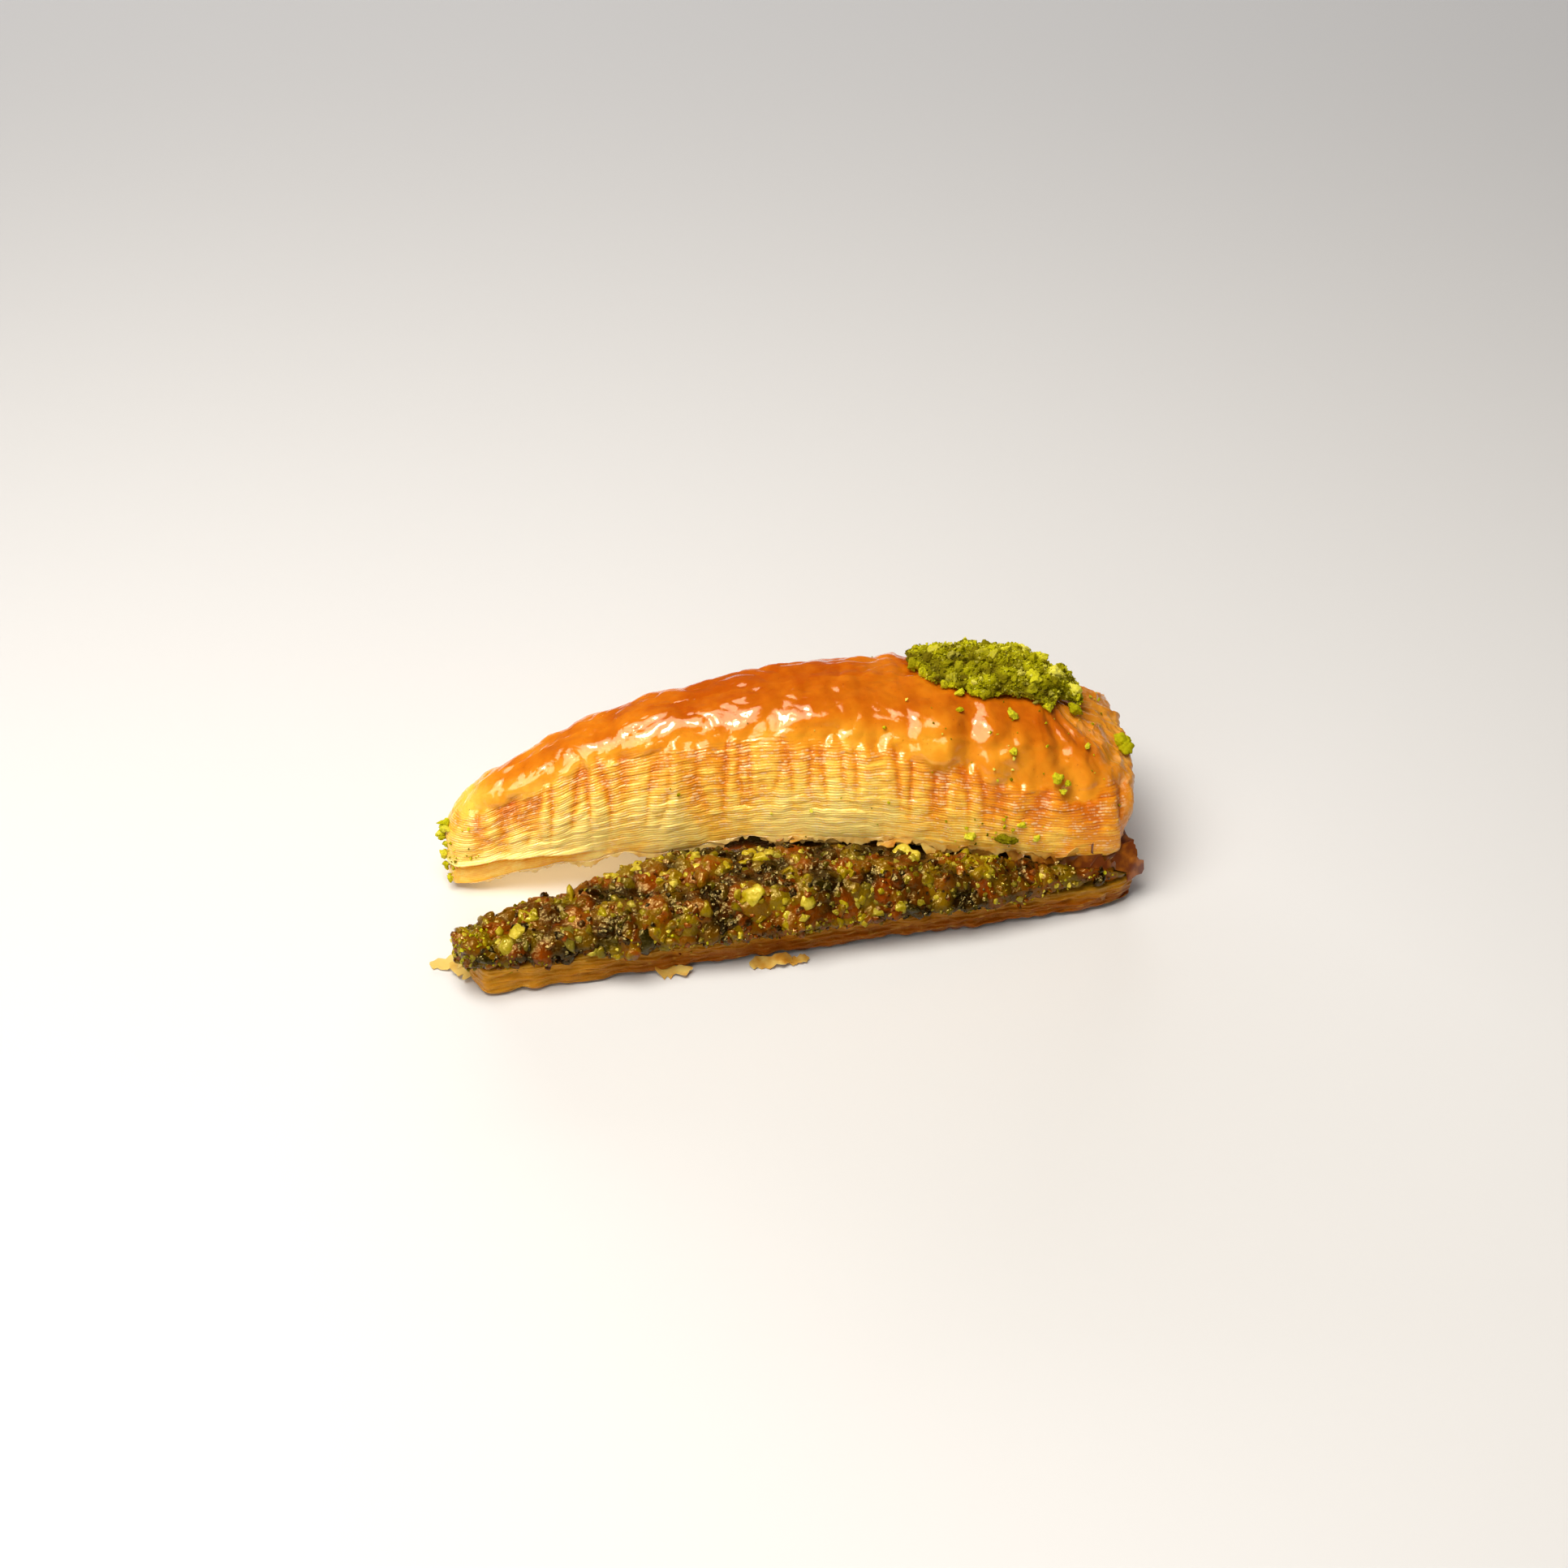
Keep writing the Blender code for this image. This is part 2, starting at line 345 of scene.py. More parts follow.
    def _space(self, line: np.ndarray, edge: int) -> np.ndarray:
        """One column's points, evenly spaced within the underside, the side and the top.

        Args:
            line: points along the column's section, from the underside's middle to the ridge.
            edge: the index of the lower edge among them.

        Returns:
            One point for each row.
        """
        reach = np.concatenate(([0.0], np.cumsum(np.linalg.norm(np.diff(line, axis=0), axis=1))))
        heights = (line[edge:, 2] - line[edge, 2]) / max(line[-1, 2] - line[edge, 2], TINY)
        above = edge + int(np.argmax(heights > self.shoulder))
        stops = (0.0, reach[edge], reach[max(above, edge + 2)], reach[-1])
        counts = (self.under_rows, self.side_rows, self.top_rows)
        places = [0.0]
        for low, high, count in zip(stops, stops[1:], counts):
            places.extend(np.linspace(low, high, count + 1)[1:])
        return np.stack([np.interp(places, reach, line[:, i]) for i in range(3)], axis=1)

    def _measure(self) -> None:
        """Works out what the reliefs are laid out by, for each point of the grid."""
        grid = self.grid
        self.normals = self.facing(grid)
        self.along = (grid[..., :2] - self.tip) @ self.axis
        edge = grid[self.under_rows, :, 2]
        self.rise = np.clip((grid[..., 2] - edge) / np.maximum(grid[-1, :, 2] - edge, TINY), 0, 1)
        steps = np.linalg.norm(np.diff(grid, axis=0), axis=-1)
        reach = np.concatenate((np.zeros((1, grid.shape[1])), np.cumsum(steps, axis=0)))
        self.from_edge = reach - reach[self.under_rows]
        self.to_rim = self.normals[..., :2] @ self.axis

    def underside(self) -> np.ndarray:
        """Which rows lie on the underside, the lower edge's among them."""
        return np.arange(self.grid.shape[0])[:, None] <= self.under_rows

    def drum(self, height: Any = 0.0) -> np.ndarray:
        """Places on a drum as far round as the outline, so that noise on it closes on itself.

        Args:
            height: how high up the drum, one number or one for each point of the grid.

        Returns:
            A place for each point of the grid.
        """
        total = len(self.round) * self.round[1]
        turn = 2 * math.pi * self.round / total
        radius = total / (2 * math.pi)
        flat = np.zeros_like(self.rise)
        return at(radius * np.cos(turn) + flat, radius * np.sin(turn) + flat, height)

    def facing(self, grid: np.ndarray) -> np.ndarray:
        """The outward direction at each point of a grid.

        Args:
            grid: points laid in rows and columns like this wrap's own.

        Returns:
            A direction one unit long for each point; where points meet, the way out from the line
            inside the solid.
        """
        below, above = grid[1:2, self.mirror], grid[-2:-1, self.mirror]
        rows = np.concatenate((below, grid, above))
        up = rows[2:] - rows[:-2]
        onward = np.roll(grid, -1, axis=1) - np.roll(grid, 1, axis=1)
        normals = np.cross(onward, up)
        length = np.linalg.norm(normals, axis=-1, keepdims=True)
        out = grid - self.spine
        away = np.linalg.norm(out, axis=-1, keepdims=True)
        least = 1e-14
        unit = normals / np.maximum(length, least)
        return np.where(length > least, unit, out / np.maximum(away, 1e-9))

    def pushed(self, relief: np.ndarray) -> np.ndarray:
        """The grid with its points pushed outwards, and its ridge kept joined.

        Args:
            relief: how far each point is pushed.

        Returns:
            The new grid.
        """
        grid = self.grid + self.normals * relief[..., None]
        for row in (0, -1):
            grid[row] = (grid[row] + grid[row, self.mirror]) / 2
        return grid


def new_object(name: str, data: bpy.types.ID) -> bpy.types.Object:
    """Puts an object in the scene.

    Args:
        name: the object's name.
        data: its mesh, light or camera.

    Returns:
        The object.
    """
    item = bpy.data.objects.new(name, data)
    bpy.context.scene.collection.objects.link(item)
    return item


def sheet(name: str, grid: np.ndarray, marks: dict[str, np.ndarray], loop_rows: bool,
          loop_columns: bool, facing: np.ndarray | None = None) -> bpy.types.Object:
    """A closed mesh from a grid of points.

    Args:
        name: the object's name.
        grid: points by row and column, with rows running up as columns run anticlockwise.
        marks: a number or a vector for each point, kept as attributes of those names.
        loop_rows: whether the last row joins the first.
        loop_columns: whether the last column joins the first; otherwise both get a flat end.
        facing: the direction that each point's shading takes, if not the mesh's own.

    Returns:
        The object, with points at the same place joined.
    """
    rows, columns = grid.shape[:2]
    index = np.arange(rows * columns).reshape(rows, columns)
    if loop_rows:
        index = np.concatenate((index, index[:1]))
    if loop_columns:
        index = np.concatenate((index, index[:, :1]), axis=1)
    quads = np.stack((index[:-1, :-1], index[:-1, 1:], index[1:, 1:], index[1:, :-1]), axis=-1)
    faces = quads.reshape(-1, 4).tolist()
    if not loop_columns:
        faces.append(index[:rows, 0].tolist())
        faces.append(index[:rows, -1][::-1].tolist())
    mesh = bpy.data.meshes.new(name)
    mesh.from_pydata(grid.reshape(-1, 3).tolist(), [], faces)
    if facing is not None:
        marks = {**marks, "facing": facing}
    for mark, values in marks.items():
        is_vector = values.ndim == 3
        kind, key = ("FLOAT_VECTOR", "vector") if is_vector else ("FLOAT", "value")
        layer = mesh.attributes.new(mark, kind, "POINT")
        layer.data.foreach_set(key, np.ascontiguousarray(values, np.float32).ravel())
    work = bmesh.new()
    work.from_mesh(mesh)
    bmesh.ops.remove_doubles(work, verts=work.verts, dist=1e-6)
    bmesh.ops.dissolve_degenerate(work, edges=work.edges, dist=1e-7)
    work.to_mesh(mesh)
    work.free()
    mesh.shade_smooth()
    if facing is not None:
        kept = np.zeros(3 * len(mesh.vertices), np.float32)
        mesh.attributes["facing"].data.foreach_get("vector", kept)
        mesh.attributes.remove(mesh.attributes["facing"])
        mesh.normals_split_custom_set_from_vertices(kept.reshape(-1, 3).tolist())
    return new_object(name, mesh)


@dataclass(frozen=True)
class Signal:
    """A node's output, on which Python's arithmetic adds Math nodes."""

    tree: "Nodes"
    socket: bpy.types.NodeSocket

    def other(self, output: Any) -> "Signal":
        """Another output of the same node."""
        return Signal(self.tree, self.socket.node.outputs[output])

    def _math(self, operation: str, first: Any, second: Any = 0.0) -> "Signal":
        """The result of a Math node."""
        return self.tree.node("ShaderNodeMath", {"operation": operation}, {0: first, 1: second})

    def __add__(self, other: Any) -> "Signal":
        """self + other."""
        return self._math("ADD", self, other)

    def __radd__(self, other: Any) -> "Signal":
        """other + self."""
        return self._math("ADD", other, self)

    def __sub__(self, other: Any) -> "Signal":
        """self - other."""
        return self._math("SUBTRACT", self, other)

    def __rsub__(self, other: Any) -> "Signal":
        """other - self."""
        return self._math("SUBTRACT", other, self)

    def __mul__(self, other: Any) -> "Signal":
        """self * other."""
        return self._math("MULTIPLY", self, other)

    def __rmul__(self, other: Any) -> "Signal":
        """other * self."""
        return self._math("MULTIPLY", other, self)

    def __pow__(self, other: Any) -> "Signal":
        """self ** other."""
        return self._math("POWER", self, other)


class Nodes:
    """A node tree, of a material or of a Geometry Nodes group."""

    def __init__(self, tree: bpy.types.NodeTree) -> None:
        """Starts on an empty tree."""
        self.tree = tree
        self.tree.nodes.clear()

    def node(self, kind: str, settings: dict[str, Any] | None = None,
             inputs: dict[Any, Any] | None = None, output: Any = 0) -> Signal:
        """Adds a node.

        Args:
            kind: the node's type.
            settings: its properties, set first; "stops" holds a colour ramp's places and colours,
                in rising order.
            inputs: a value or another node's output for each input, by index or name.
            output: the index or name of the output that is returned.

        Returns:
            That output.
        """
        made = self.tree.nodes.new(kind)
        for key, value in (settings or {}).items():
            if key == "stops":
                self._set_stops(made.color_ramp, value)
            else:
                setattr(made, key, value)
        for key, value in (inputs or {}).items():
            if isinstance(value, Signal):
                self.tree.links.new(value.socket, made.inputs[key])
            else:
                made.inputs[key].default_value = value
        return Signal(self, made.outputs[output] if len(made.outputs) else None)

    def _set_stops(self, ramp: bpy.types.ColorRamp, stops: list) -> None:
        """Gives a colour ramp its colours.

        Args:
            ramp: a new ramp, which has two colours.
            stops: each colour's place and the colour, in rising order.
        """
        ramp.elements[0].position, ramp.elements[-1].position = stops[0][0], stops[-1][0]
        for place, _ in stops[1:-1]:
            ramp.elements.new(place)
        for element, (_, colour) in zip(ramp.elements, stops):
            element.color = (*colour, 1.0)


class Paint(Nodes):
    """The node tree of a material."""

    def __init__(self, name: str) -> None:
        """Makes an empty material.

        Args:
            name: the material's name.
        """
        self.material = bpy.data.materials.new(name)
        self.material.use_nodes = True
        super().__init__(self.material.node_tree)
        self.place = self.node("ShaderNodeTexCoord", output="Object")

    def mark(self, name: str) -> Signal:
        """A number stored on the mesh."""
        return self.node("ShaderNodeAttribute", {"attribute_name": name}, output="Fac")

    def place_mark(self, name: str) -> Signal:
        """A place stored on the mesh."""
        return self.node("ShaderNodeAttribute", {"attribute_name": name}, output="Vector")

    def noise(self, size: float, detail: float = 2.0, stretch: tuple = (1, 1, 1),
              place: Signal | None = None) -> Signal:
        """Noise from 0 to 1.

        Args:
            size: the width of its bumps.
            detail: how many finer layers it has.
            stretch: how much tighter it is along each axis.
            place: where it is read, if not at the mesh's own places.

        Returns:
            The noise.
        """
        scaled = self.node("ShaderNodeMapping", {},
                           {"Vector": place or self.place, "Scale": stretch})
        return self.node("ShaderNodeTexNoise", {},
                         {"Vector": scaled, "Scale": 1 / size, "Detail": detail})

    def ramp(self, value: Signal, stops: list) -> Signal:
        """Colours read along a ramp."""
        return self.node("ShaderNodeValToRGB", {"stops": stops}, {0: value})

    def blend(self, share: Any, first: Any, second: Any) -> Signal:
        """Two colours mixed.

        Args:
            share: how much of the second one there is, from 0 to 1.
            first: a colour, or an output that gives one.
            second: the same for the other colour.

        Returns:
            The mixed colour.
        """
        settings = {"data_type": "RGBA", "clamp_factor": True}
        colours = [c if isinstance(c, Signal) else (*c, 1.0) for c in (first, second)]
        return self.node("ShaderNodeMix", settings, {0: share, 6: colours[0], 7: colours[1]}, 2)

    def bump(self, height: Signal, distance: float, strength: float = 1.0) -> Signal:
        """A normal bent by a height from 0 to 1."""
        return self.node("ShaderNodeBump", {},
                         {"Height": height, "Distance": distance, "Strength": strength}, "Normal")

    def finish(self, **inputs: Any) -> bpy.types.Material:
        """Ends the material in a Principled BSDF.

        Args:
            inputs: values or outputs for its inputs, whose spaces are written as underlines.

        Returns:
            The material.
        """
        named = {key.replace("_", " "): value for key, value in inputs.items()}
        shader = self.node("ShaderNodeBsdfPrincipled", {}, named)
        self.node("ShaderNodeOutputMaterial", {}, {"Surface": shader})
        return self.material


BLACK = (0.0, 0.0, 0.0)
WHITE = (1.0, 1.0, 1.0)


def linear(red: int, green: int, blue: int) -> tuple[float, float, float]:
    """A display colour, 0 to 255, as the linear numbers that a shader takes."""
    shares = (red / 255, green / 255, blue / 255)
    return tuple(s / 12.92 if s <= 0.04045 else ((s + 0.055) / 1.055) ** 2.4 for s in shares)


@dataclass(frozen=True)
class BakedPastry:
    """Baked pastry leaves under syrup: pale yellow where soft, amber where browned, glossy crust.

    Args:
        palest: the softest leaves' colour.
        gold: leaves that are slightly baked.
        honey: leaves that are well baked.
        toast: the darkest leaves.
        painted_glint: the painted highlight on threads of leaf that stand out, as if they catch the
            light.
        amber: the palest crust past gold.
        orange: the crust over most of the lid.
        brown: the darkest crust.
        tan: the dry rim.
        speck: scorched specks on the crust.
    """

    palest: tuple = linear(255, 224, 128)
    gold: tuple = linear(250, 196, 76)
    honey: tuple = linear(234, 150, 28)
    toast: tuple = linear(206, 104, 6)
    painted_glint: tuple = linear(255, 238, 184)
    amber: tuple = linear(226, 148, 34)
    orange: tuple = linear(206, 114, 14)
    brown: tuple = linear(176, 78, 2)
    tan: tuple = linear(206, 124, 34)
    speck: tuple = linear(130, 50, 5)

    def material(self) -> bpy.types.Material:
        """Builds the material.

        Returns:
            It.
        """
        paint = Paint("baked_pastry")
        baked = paint.mark("baked")
        crust = paint.mark("crust")
        weave = paint.place_mark("weave")
        patches = paint.noise(0.011, 3.0)
        fine = paint.noise(0.0016, 3.0)
        leaf = paint.noise(0.0032, 3.0, place=weave)
        fibre = paint.noise(0.0010, 2.0, (1, 1, 1.6), weave)
        gap = paint.mark("gap")
        side = 1 - crust
        clouds = paint.noise(0.0045, 4.0)
        tone = baked + (patches - 0.5) * 0.34 + (clouds - 0.5) * 0.30 + (fine - 0.5) * 0.08
        cut = tone + paint.mark("groove") * 0.30 + (leaf - 0.5) * 0.5 + (fibre - 0.5) * 0.35
        # Painted shade: darker lines in the narrow gaps between the leaves.
        cut = cut + gap * leaf * 0.5
        leaves = paint.ramp(cut, [(0.0, self.palest), (0.26, self.gold), (0.55, self.honey),
                                  (1.0, self.toast)])
        # Painted highlight: the threads of leaf are blended towards a near-white colour, less in
        # the gaps and on the flap.
        threads = leaf * 0.5 + fibre * 0.5 - gap * 0.2
        shine = paint.ramp(threads, [(0.50, BLACK), (0.60, WHITE)])
        leaves = paint.blend(shine * (0.45 - paint.mark("flap") * 0.4), leaves, self.painted_glint)
        top = paint.ramp(tone, [(0.30, self.gold), (0.52, self.amber), (0.78, self.orange),
                                (1.0, self.brown)])
        colour = paint.blend(crust, leaves, top)
        colour = paint.blend(paint.mark("dry") * 0.65, colour, self.tan)
        speck = paint.ramp(paint.noise(0.0007, 1.0), [(0.70, BLACK), (0.78, WHITE)])
        colour = paint.blend(speck * 0.35 * crust, colour, self.speck)
        roughness = 0.32 - crust * 0.20 + (fine - 0.5) * 0.12 + (leaf - 0.5) * side * 0.3
        grain = paint.noise(0.0006, 3.0) * 0.35 + fine * 0.65
        height = grain * (1 - side * 0.5) + (leaf * 0.6 + fibre * 0.9) * side
        return paint.finish(
            Base_Color=colour, Roughness=roughness, Normal=paint.bump(height, 0.00016, 0.7),
            Coat_Weight=0.22 + crust * 0.08, Coat_Roughness=0.06, IOR=1.48,
            Specular_Tint=(1.0, 0.80, 0.50, 1.0),
            Subsurface_Weight=0.22, Subsurface_Scale=0.0028,
            Subsurface_Radius=(1.0, 0.45, 0.12))


@dataclass(frozen=True)
class SoakedPastry:
    """Pressed leaves full of syrup: brown, amber near the tip, wet and glossy.

    Args:
        foot: the lowest leaves' colour.
        brown: the lower half.
        amber: the upper half.
        olive: the topmost leaves, stained by the nuts.
        pale: the leaves at the tip.
        thread: single threads of leaf that are lighter.
    """

    foot: tuple = linear(72, 28, 0)
    brown: tuple = linear(140, 72, 3)
    amber: tuple = linear(164, 102, 10)
    olive: tuple = linear(162, 118, 26)
    pale: tuple = linear(204, 142, 34)
    thread: tuple = linear(206, 156, 62)

    def material(self) -> bpy.types.Material:
        """Builds the material.

        Returns:
            It.
        """
        paint = Paint("soaked_pastry")
        weave = paint.place_mark("weave")
        streaks = paint.noise(0.0042, 4.0, (0.5, 0.5, 1.0), weave)
        threads = paint.noise(0.0014, 3.0, (0.5, 0.5, 1.5), weave)
        tone = paint.mark("depth") + (streaks - 0.5) * 0.55 + (threads - 0.5) * 0.25
        colour = paint.ramp(tone, [(0.0, self.foot), (0.14, self.brown), (0.42, self.brown),
                                   (0.68, self.amber), (1.0, self.olive)])
        colour = paint.blend(paint.mark("tip") * 0.8, colour, self.pale)
        light = paint.ramp(threads, [(0.58, BLACK), (0.70, WHITE)])
        colour = paint.blend(light * 0.35, colour, self.thread)
        grain = paint.noise(0.0009, 3.0) * 0.4 + threads * 0.6
        return paint.finish(
            Base_Color=colour, Roughness=0.10 + (streaks - 0.5) * 0.12, IOR=1.5,
            Specular_Tint=(1.0, 0.72, 0.30, 1.0), Normal=paint.bump(grain, 0.0006, 1.0),
            Subsurface_Weight=0.3, Subsurface_Scale=0.003, Subsurface_Radius=(1.0, 0.4, 0.1))


@dataclass(frozen=True)
class NutPaste:
    """The syrupy paste of nut dust between the chopped pieces: dark, olive to red-brown, wet.

    Args:
        dark: the painted shade in the hollows between the lumps, also used in darker pools.
        olive: most of the lumps.
        rust: lumps with skin in them.
        green: the freshest lumps.
    """

    dark: tuple = linear(26, 10, 0)
    olive: tuple = linear(110, 68, 2)
    rust: tuple = linear(126, 52, 1)
    green: tuple = linear(122, 96, 3)

    def material(self) -> bpy.types.Material:
        """Builds the material.

        Returns:
            It.
        """
        paint = Paint("nut_paste")
        lump = paint.mark("lump")
        patches = paint.noise(0.006, 3.0)
        colour = paint.ramp(lump, [(0.0, self.olive), (0.30, self.rust), (0.60, self.olive),
                                   (1.0, self.green)])
        # Painted shade: darkened towards dark in the hollows, where the mark deep is high.
        shade = 1 - paint.mark("deep") + (patches - 0.5) * 0.7
        colour = paint.blend(shade, self.dark, colour)
        grain = paint.noise(0.0011, 3.0)
        return paint.finish(
            Base_Color=colour, Roughness=0.10, Normal=paint.bump(grain, 0.0005, 1.0), IOR=1.48,
            Specular_Tint=(1.0, 0.76, 0.24, 1.0),
            Subsurface_Weight=0.1, Subsurface_Scale=0.0015, Subsurface_Radius=(1.0, 0.6, 0.15))


@dataclass(frozen=True)
class Nut:
    """Pieces of pistachio, each with a colour of its own along a ramp.

    Args:
        name: the material's name.
        stops: colours along the pieces' random numbers.
        dark: the painted shade in the deepest hollows, where the ground's mark deep is high.
        gloss: the index of refraction of what they are wet with.
        roughness: how rough they are.
        grain: the width of the finest bumps on a piece.
        mottle: the width of the blotches on a piece.
        blotches: how far the colours of the blotches differ.
        zones: how far the colours of whole areas differ.
    """

    name: str
    stops: tuple
    dark: tuple
    gloss: float
    roughness: float
    grain: float
    mottle: float
    blotches: float
    zones: float

    def material(self) -> bpy.types.Material:
        """Builds the material.

        Returns:
            It.
        """
        paint = Paint(self.name)
        blotch = paint.noise(self.mottle, 3.0)
        zone = paint.noise(0.008, 2.0)
        tone = paint.mark("tint") + (blotch - 0.5) * self.blotches + (zone - 0.5) * self.zones
        colour = paint.ramp(tone, list(self.stops))
        # Painted shade: darkened where the ground under the piece is marked deep.
        colour = paint.blend(paint.mark("deep"), colour, self.dark)
        grain = paint.noise(self.grain, 3.0)
        return paint.finish(
            Base_Color=colour, Roughness=self.roughness,
            Normal=paint.bump(grain, self.grain * 0.45, 1.0), IOR=self.gloss,
            Specular_Tint=(1.0, 0.76, 0.24, 1.0),
            Subsurface_Weight=0.15, Subsurface_Scale=0.0012, Subsurface_Radius=(1.0, 0.8, 0.2))


# Chopped pistachio in syrup, from dark skin through rust and olive to yellow-green.
WET_NUT = Nut(
    "wet_pistachio",
    stops=((0.0, linear(22, 9, 0)), (0.10, linear(60, 26, 0)), (0.22, linear(130, 54, 2)),
           (0.33, linear(124, 72, 1)), (0.46, linear(116, 84, 1)), (0.62, linear(142, 116, 3)),
           (0.80, linear(168, 148, 12)), (1.0, linear(200, 180, 60))),
    dark=linear(12, 4, 0), gloss=1.53, roughness=0.07, grain=0.0012, mottle=0.0022,
    blotches=0.8, zones=0.6)

# Dry ground pistachio, from deep to pale green.
GROUND_NUT = Nut(
    "ground_pistachio",
    stops=((0.0, linear(98, 90, 0)), (0.25, linear(144, 138, 2)), (0.5, linear(174, 170, 8)),
           (0.8, linear(194, 188, 34)), (1.0, linear(212, 204, 84))),
    dark=linear(62, 44, 0), gloss=1.3, roughness=0.9, grain=0.0004, mottle=0.0008,
    blotches=0.4, zones=0.2)


@dataclass(frozen=True)
class TornLeaf:
    """A single leaf of pastry, thin enough to let the light through.

    Args:
        stops: colours from a pale leaf to a scorched one.
    """

    stops: tuple = ((0.3, linear(240, 200, 108)), (0.6, linear(212, 146, 48)),
                    (0.8, linear(166, 92, 10)), (1.0, linear(112, 50, 3)))

    def material(self) -> bpy.types.Material:
        """Builds the material.

        Returns:
            It.
        """
        paint = Paint("torn_leaf")
        patches = paint.noise(0.003, 3.0)
        tone = patches + (paint.mark("tint") - 0.5) * 0.6
        colour = paint.ramp(tone, list(self.stops))
        return paint.finish(
            Base_Color=colour, Roughness=0.35, Alpha=0.82, Coat_Weight=0.7, Coat_Roughness=0.08,
            Normal=paint.bump(paint.noise(0.0007, 3.0), 0.0001, 0.6), IOR=1.45,
            Subsurface_Weight=0.3, Subsurface_Scale=0.002, Subsurface_Radius=(1.0, 0.6, 0.25))


# Where ground pistachio has fallen on the lid: the place and its reach, in millimetres, and how
# thickly it lies there.
SPILLS = (
    ((-80, 28, 10), 8, 0.9), ((55, -6, 48), 22, 0.10), ((58, -13, 44), 8, 0.5),
    ((50, -25, 38), 12, 0.15), ((40, -27, 18), 10, 0.4), ((84, -2, 36), 4, 0.8),
    ((12, -18, 20), 30, 0.04))

# The larger clumps of it: each one's place and width in millimetres, and its tint from dark to
# yellow-green.
SPILT_CLUMPS = (
    ((-81.0, 32.7, 17.0), 2.6, 0.50), ((-80.4, 32.4, 14.0), 2.8, 0.75),
    ((-82.1, 31.2, 12.0), 2.6, 0.40), ((-82.0, 30.1, 9.0), 2.5, 0.85),
    ((-81.0, 28.6, 6.0), 2.2, 0.60), ((-80.0, 30.0, 16.0), 2.2, 0.85),
    ((-79.5, 26.0, 3.5), 2.0, 0.70), ((-81.6, 32.0, 15.6), 1.9, 0.80),
    ((-80.8, 33.0, 15.4), 1.7, 0.60), ((-81.5, 31.8, 13.0), 2.0, 0.90),
    ((-82.3, 30.8, 10.6), 1.8, 0.70), ((-81.9, 29.5, 7.6), 1.7, 0.90),
    ((-81.2, 31.9, 18.2), 1.6, 0.75), ((-80.2, 31.0, 17.8), 1.7, 0.50),
    ((-81.8, 28.9, 4.8), 1.4, 0.80), ((-82.4, 31.0, 14.2), 1.5, 0.55),
    ((81.3, -21.0, 36.0), 5.0, 0.35),
    ((68.7, -13.4, 41.2), 4.2, 0.30), ((60.3, -14.5, 43.5), 3.2, 0.60),
    ((63.0, -11.5, 43.6), 3.0, 0.85), ((51.0, -15.5, 44.5), 2.6, 0.80),
    ((47.9, -23.0, 40.0), 2.8, 0.75), ((57.4, -29.0, 34.1), 3.2, 0.65),
    ((59.5, -30.0, 32.5), 2.0, 0.55), ((58.2, -30.8, 30.9), 2.3, 0.80),
    ((45.5, -19.0, 43.0), 1.6, 0.80), ((66.8, -24.0, 37.0), 1.7, 0.80),
    ((44.9, -28.4, 19.1), 4.6, 0.05), ((36.7, -24.9, 19.7), 3.0, 0.85),
    ((48.5, -29.5, 23.0), 2.4, 0.80), ((51.5, -31.5, 19.5), 2.0, 0.85),
    ((41.0, -7.0, 48.8), 2.8, 0.70), ((38.9, -11.6, 47.3), 2.1, 0.45))


@dataclass(frozen=True)
class Skin:
    """A thin torn leaf that hangs from the lid's lower edge.

    Args:
        name: the piece's name.
        seed: its own draw.
        drop: how far it hangs down at most.
        shares: where along the outline it starts and ends, from 0 at the tip to 3 at the rim.
        lift: how many rows above the lower edge it comes out.
        tint: how brown it is at its start and at its end, from 0 to 1.
        flare: how far it leans outwards, as a share of its drop.
        thick: how thick it is where it is torn.
        rows: how many rows of points it has on each face.
    """

    name: str
    seed: int
    drop: float
    shares: tuple[float, float]
    lift: int
    tint: tuple[float, float]
    flare: float = 0.2
    thick: float = 0.12 * MM
    rows: int = 9


# The torn leaves along the lower edge, and the strands at the rim's near corner.
SKINS = (
    Skin("low_skin", 80, 2.2 * MM, (0.7, 2.3), 3, (0.2, 0.6)),
    Skin("ragged_skin", 85, 3.2 * MM, (1.4, 2.2), 9, (0.1, 0.7)),
    Skin("corner_strands", 90, 13 * MM, (1.93, 2.3), 8, (0.9, 1.2), flare=0.4),
    Skin("rim_strands", 101, 10 * MM, (1.97, 2.6), 4, (0.95, 1.2)))


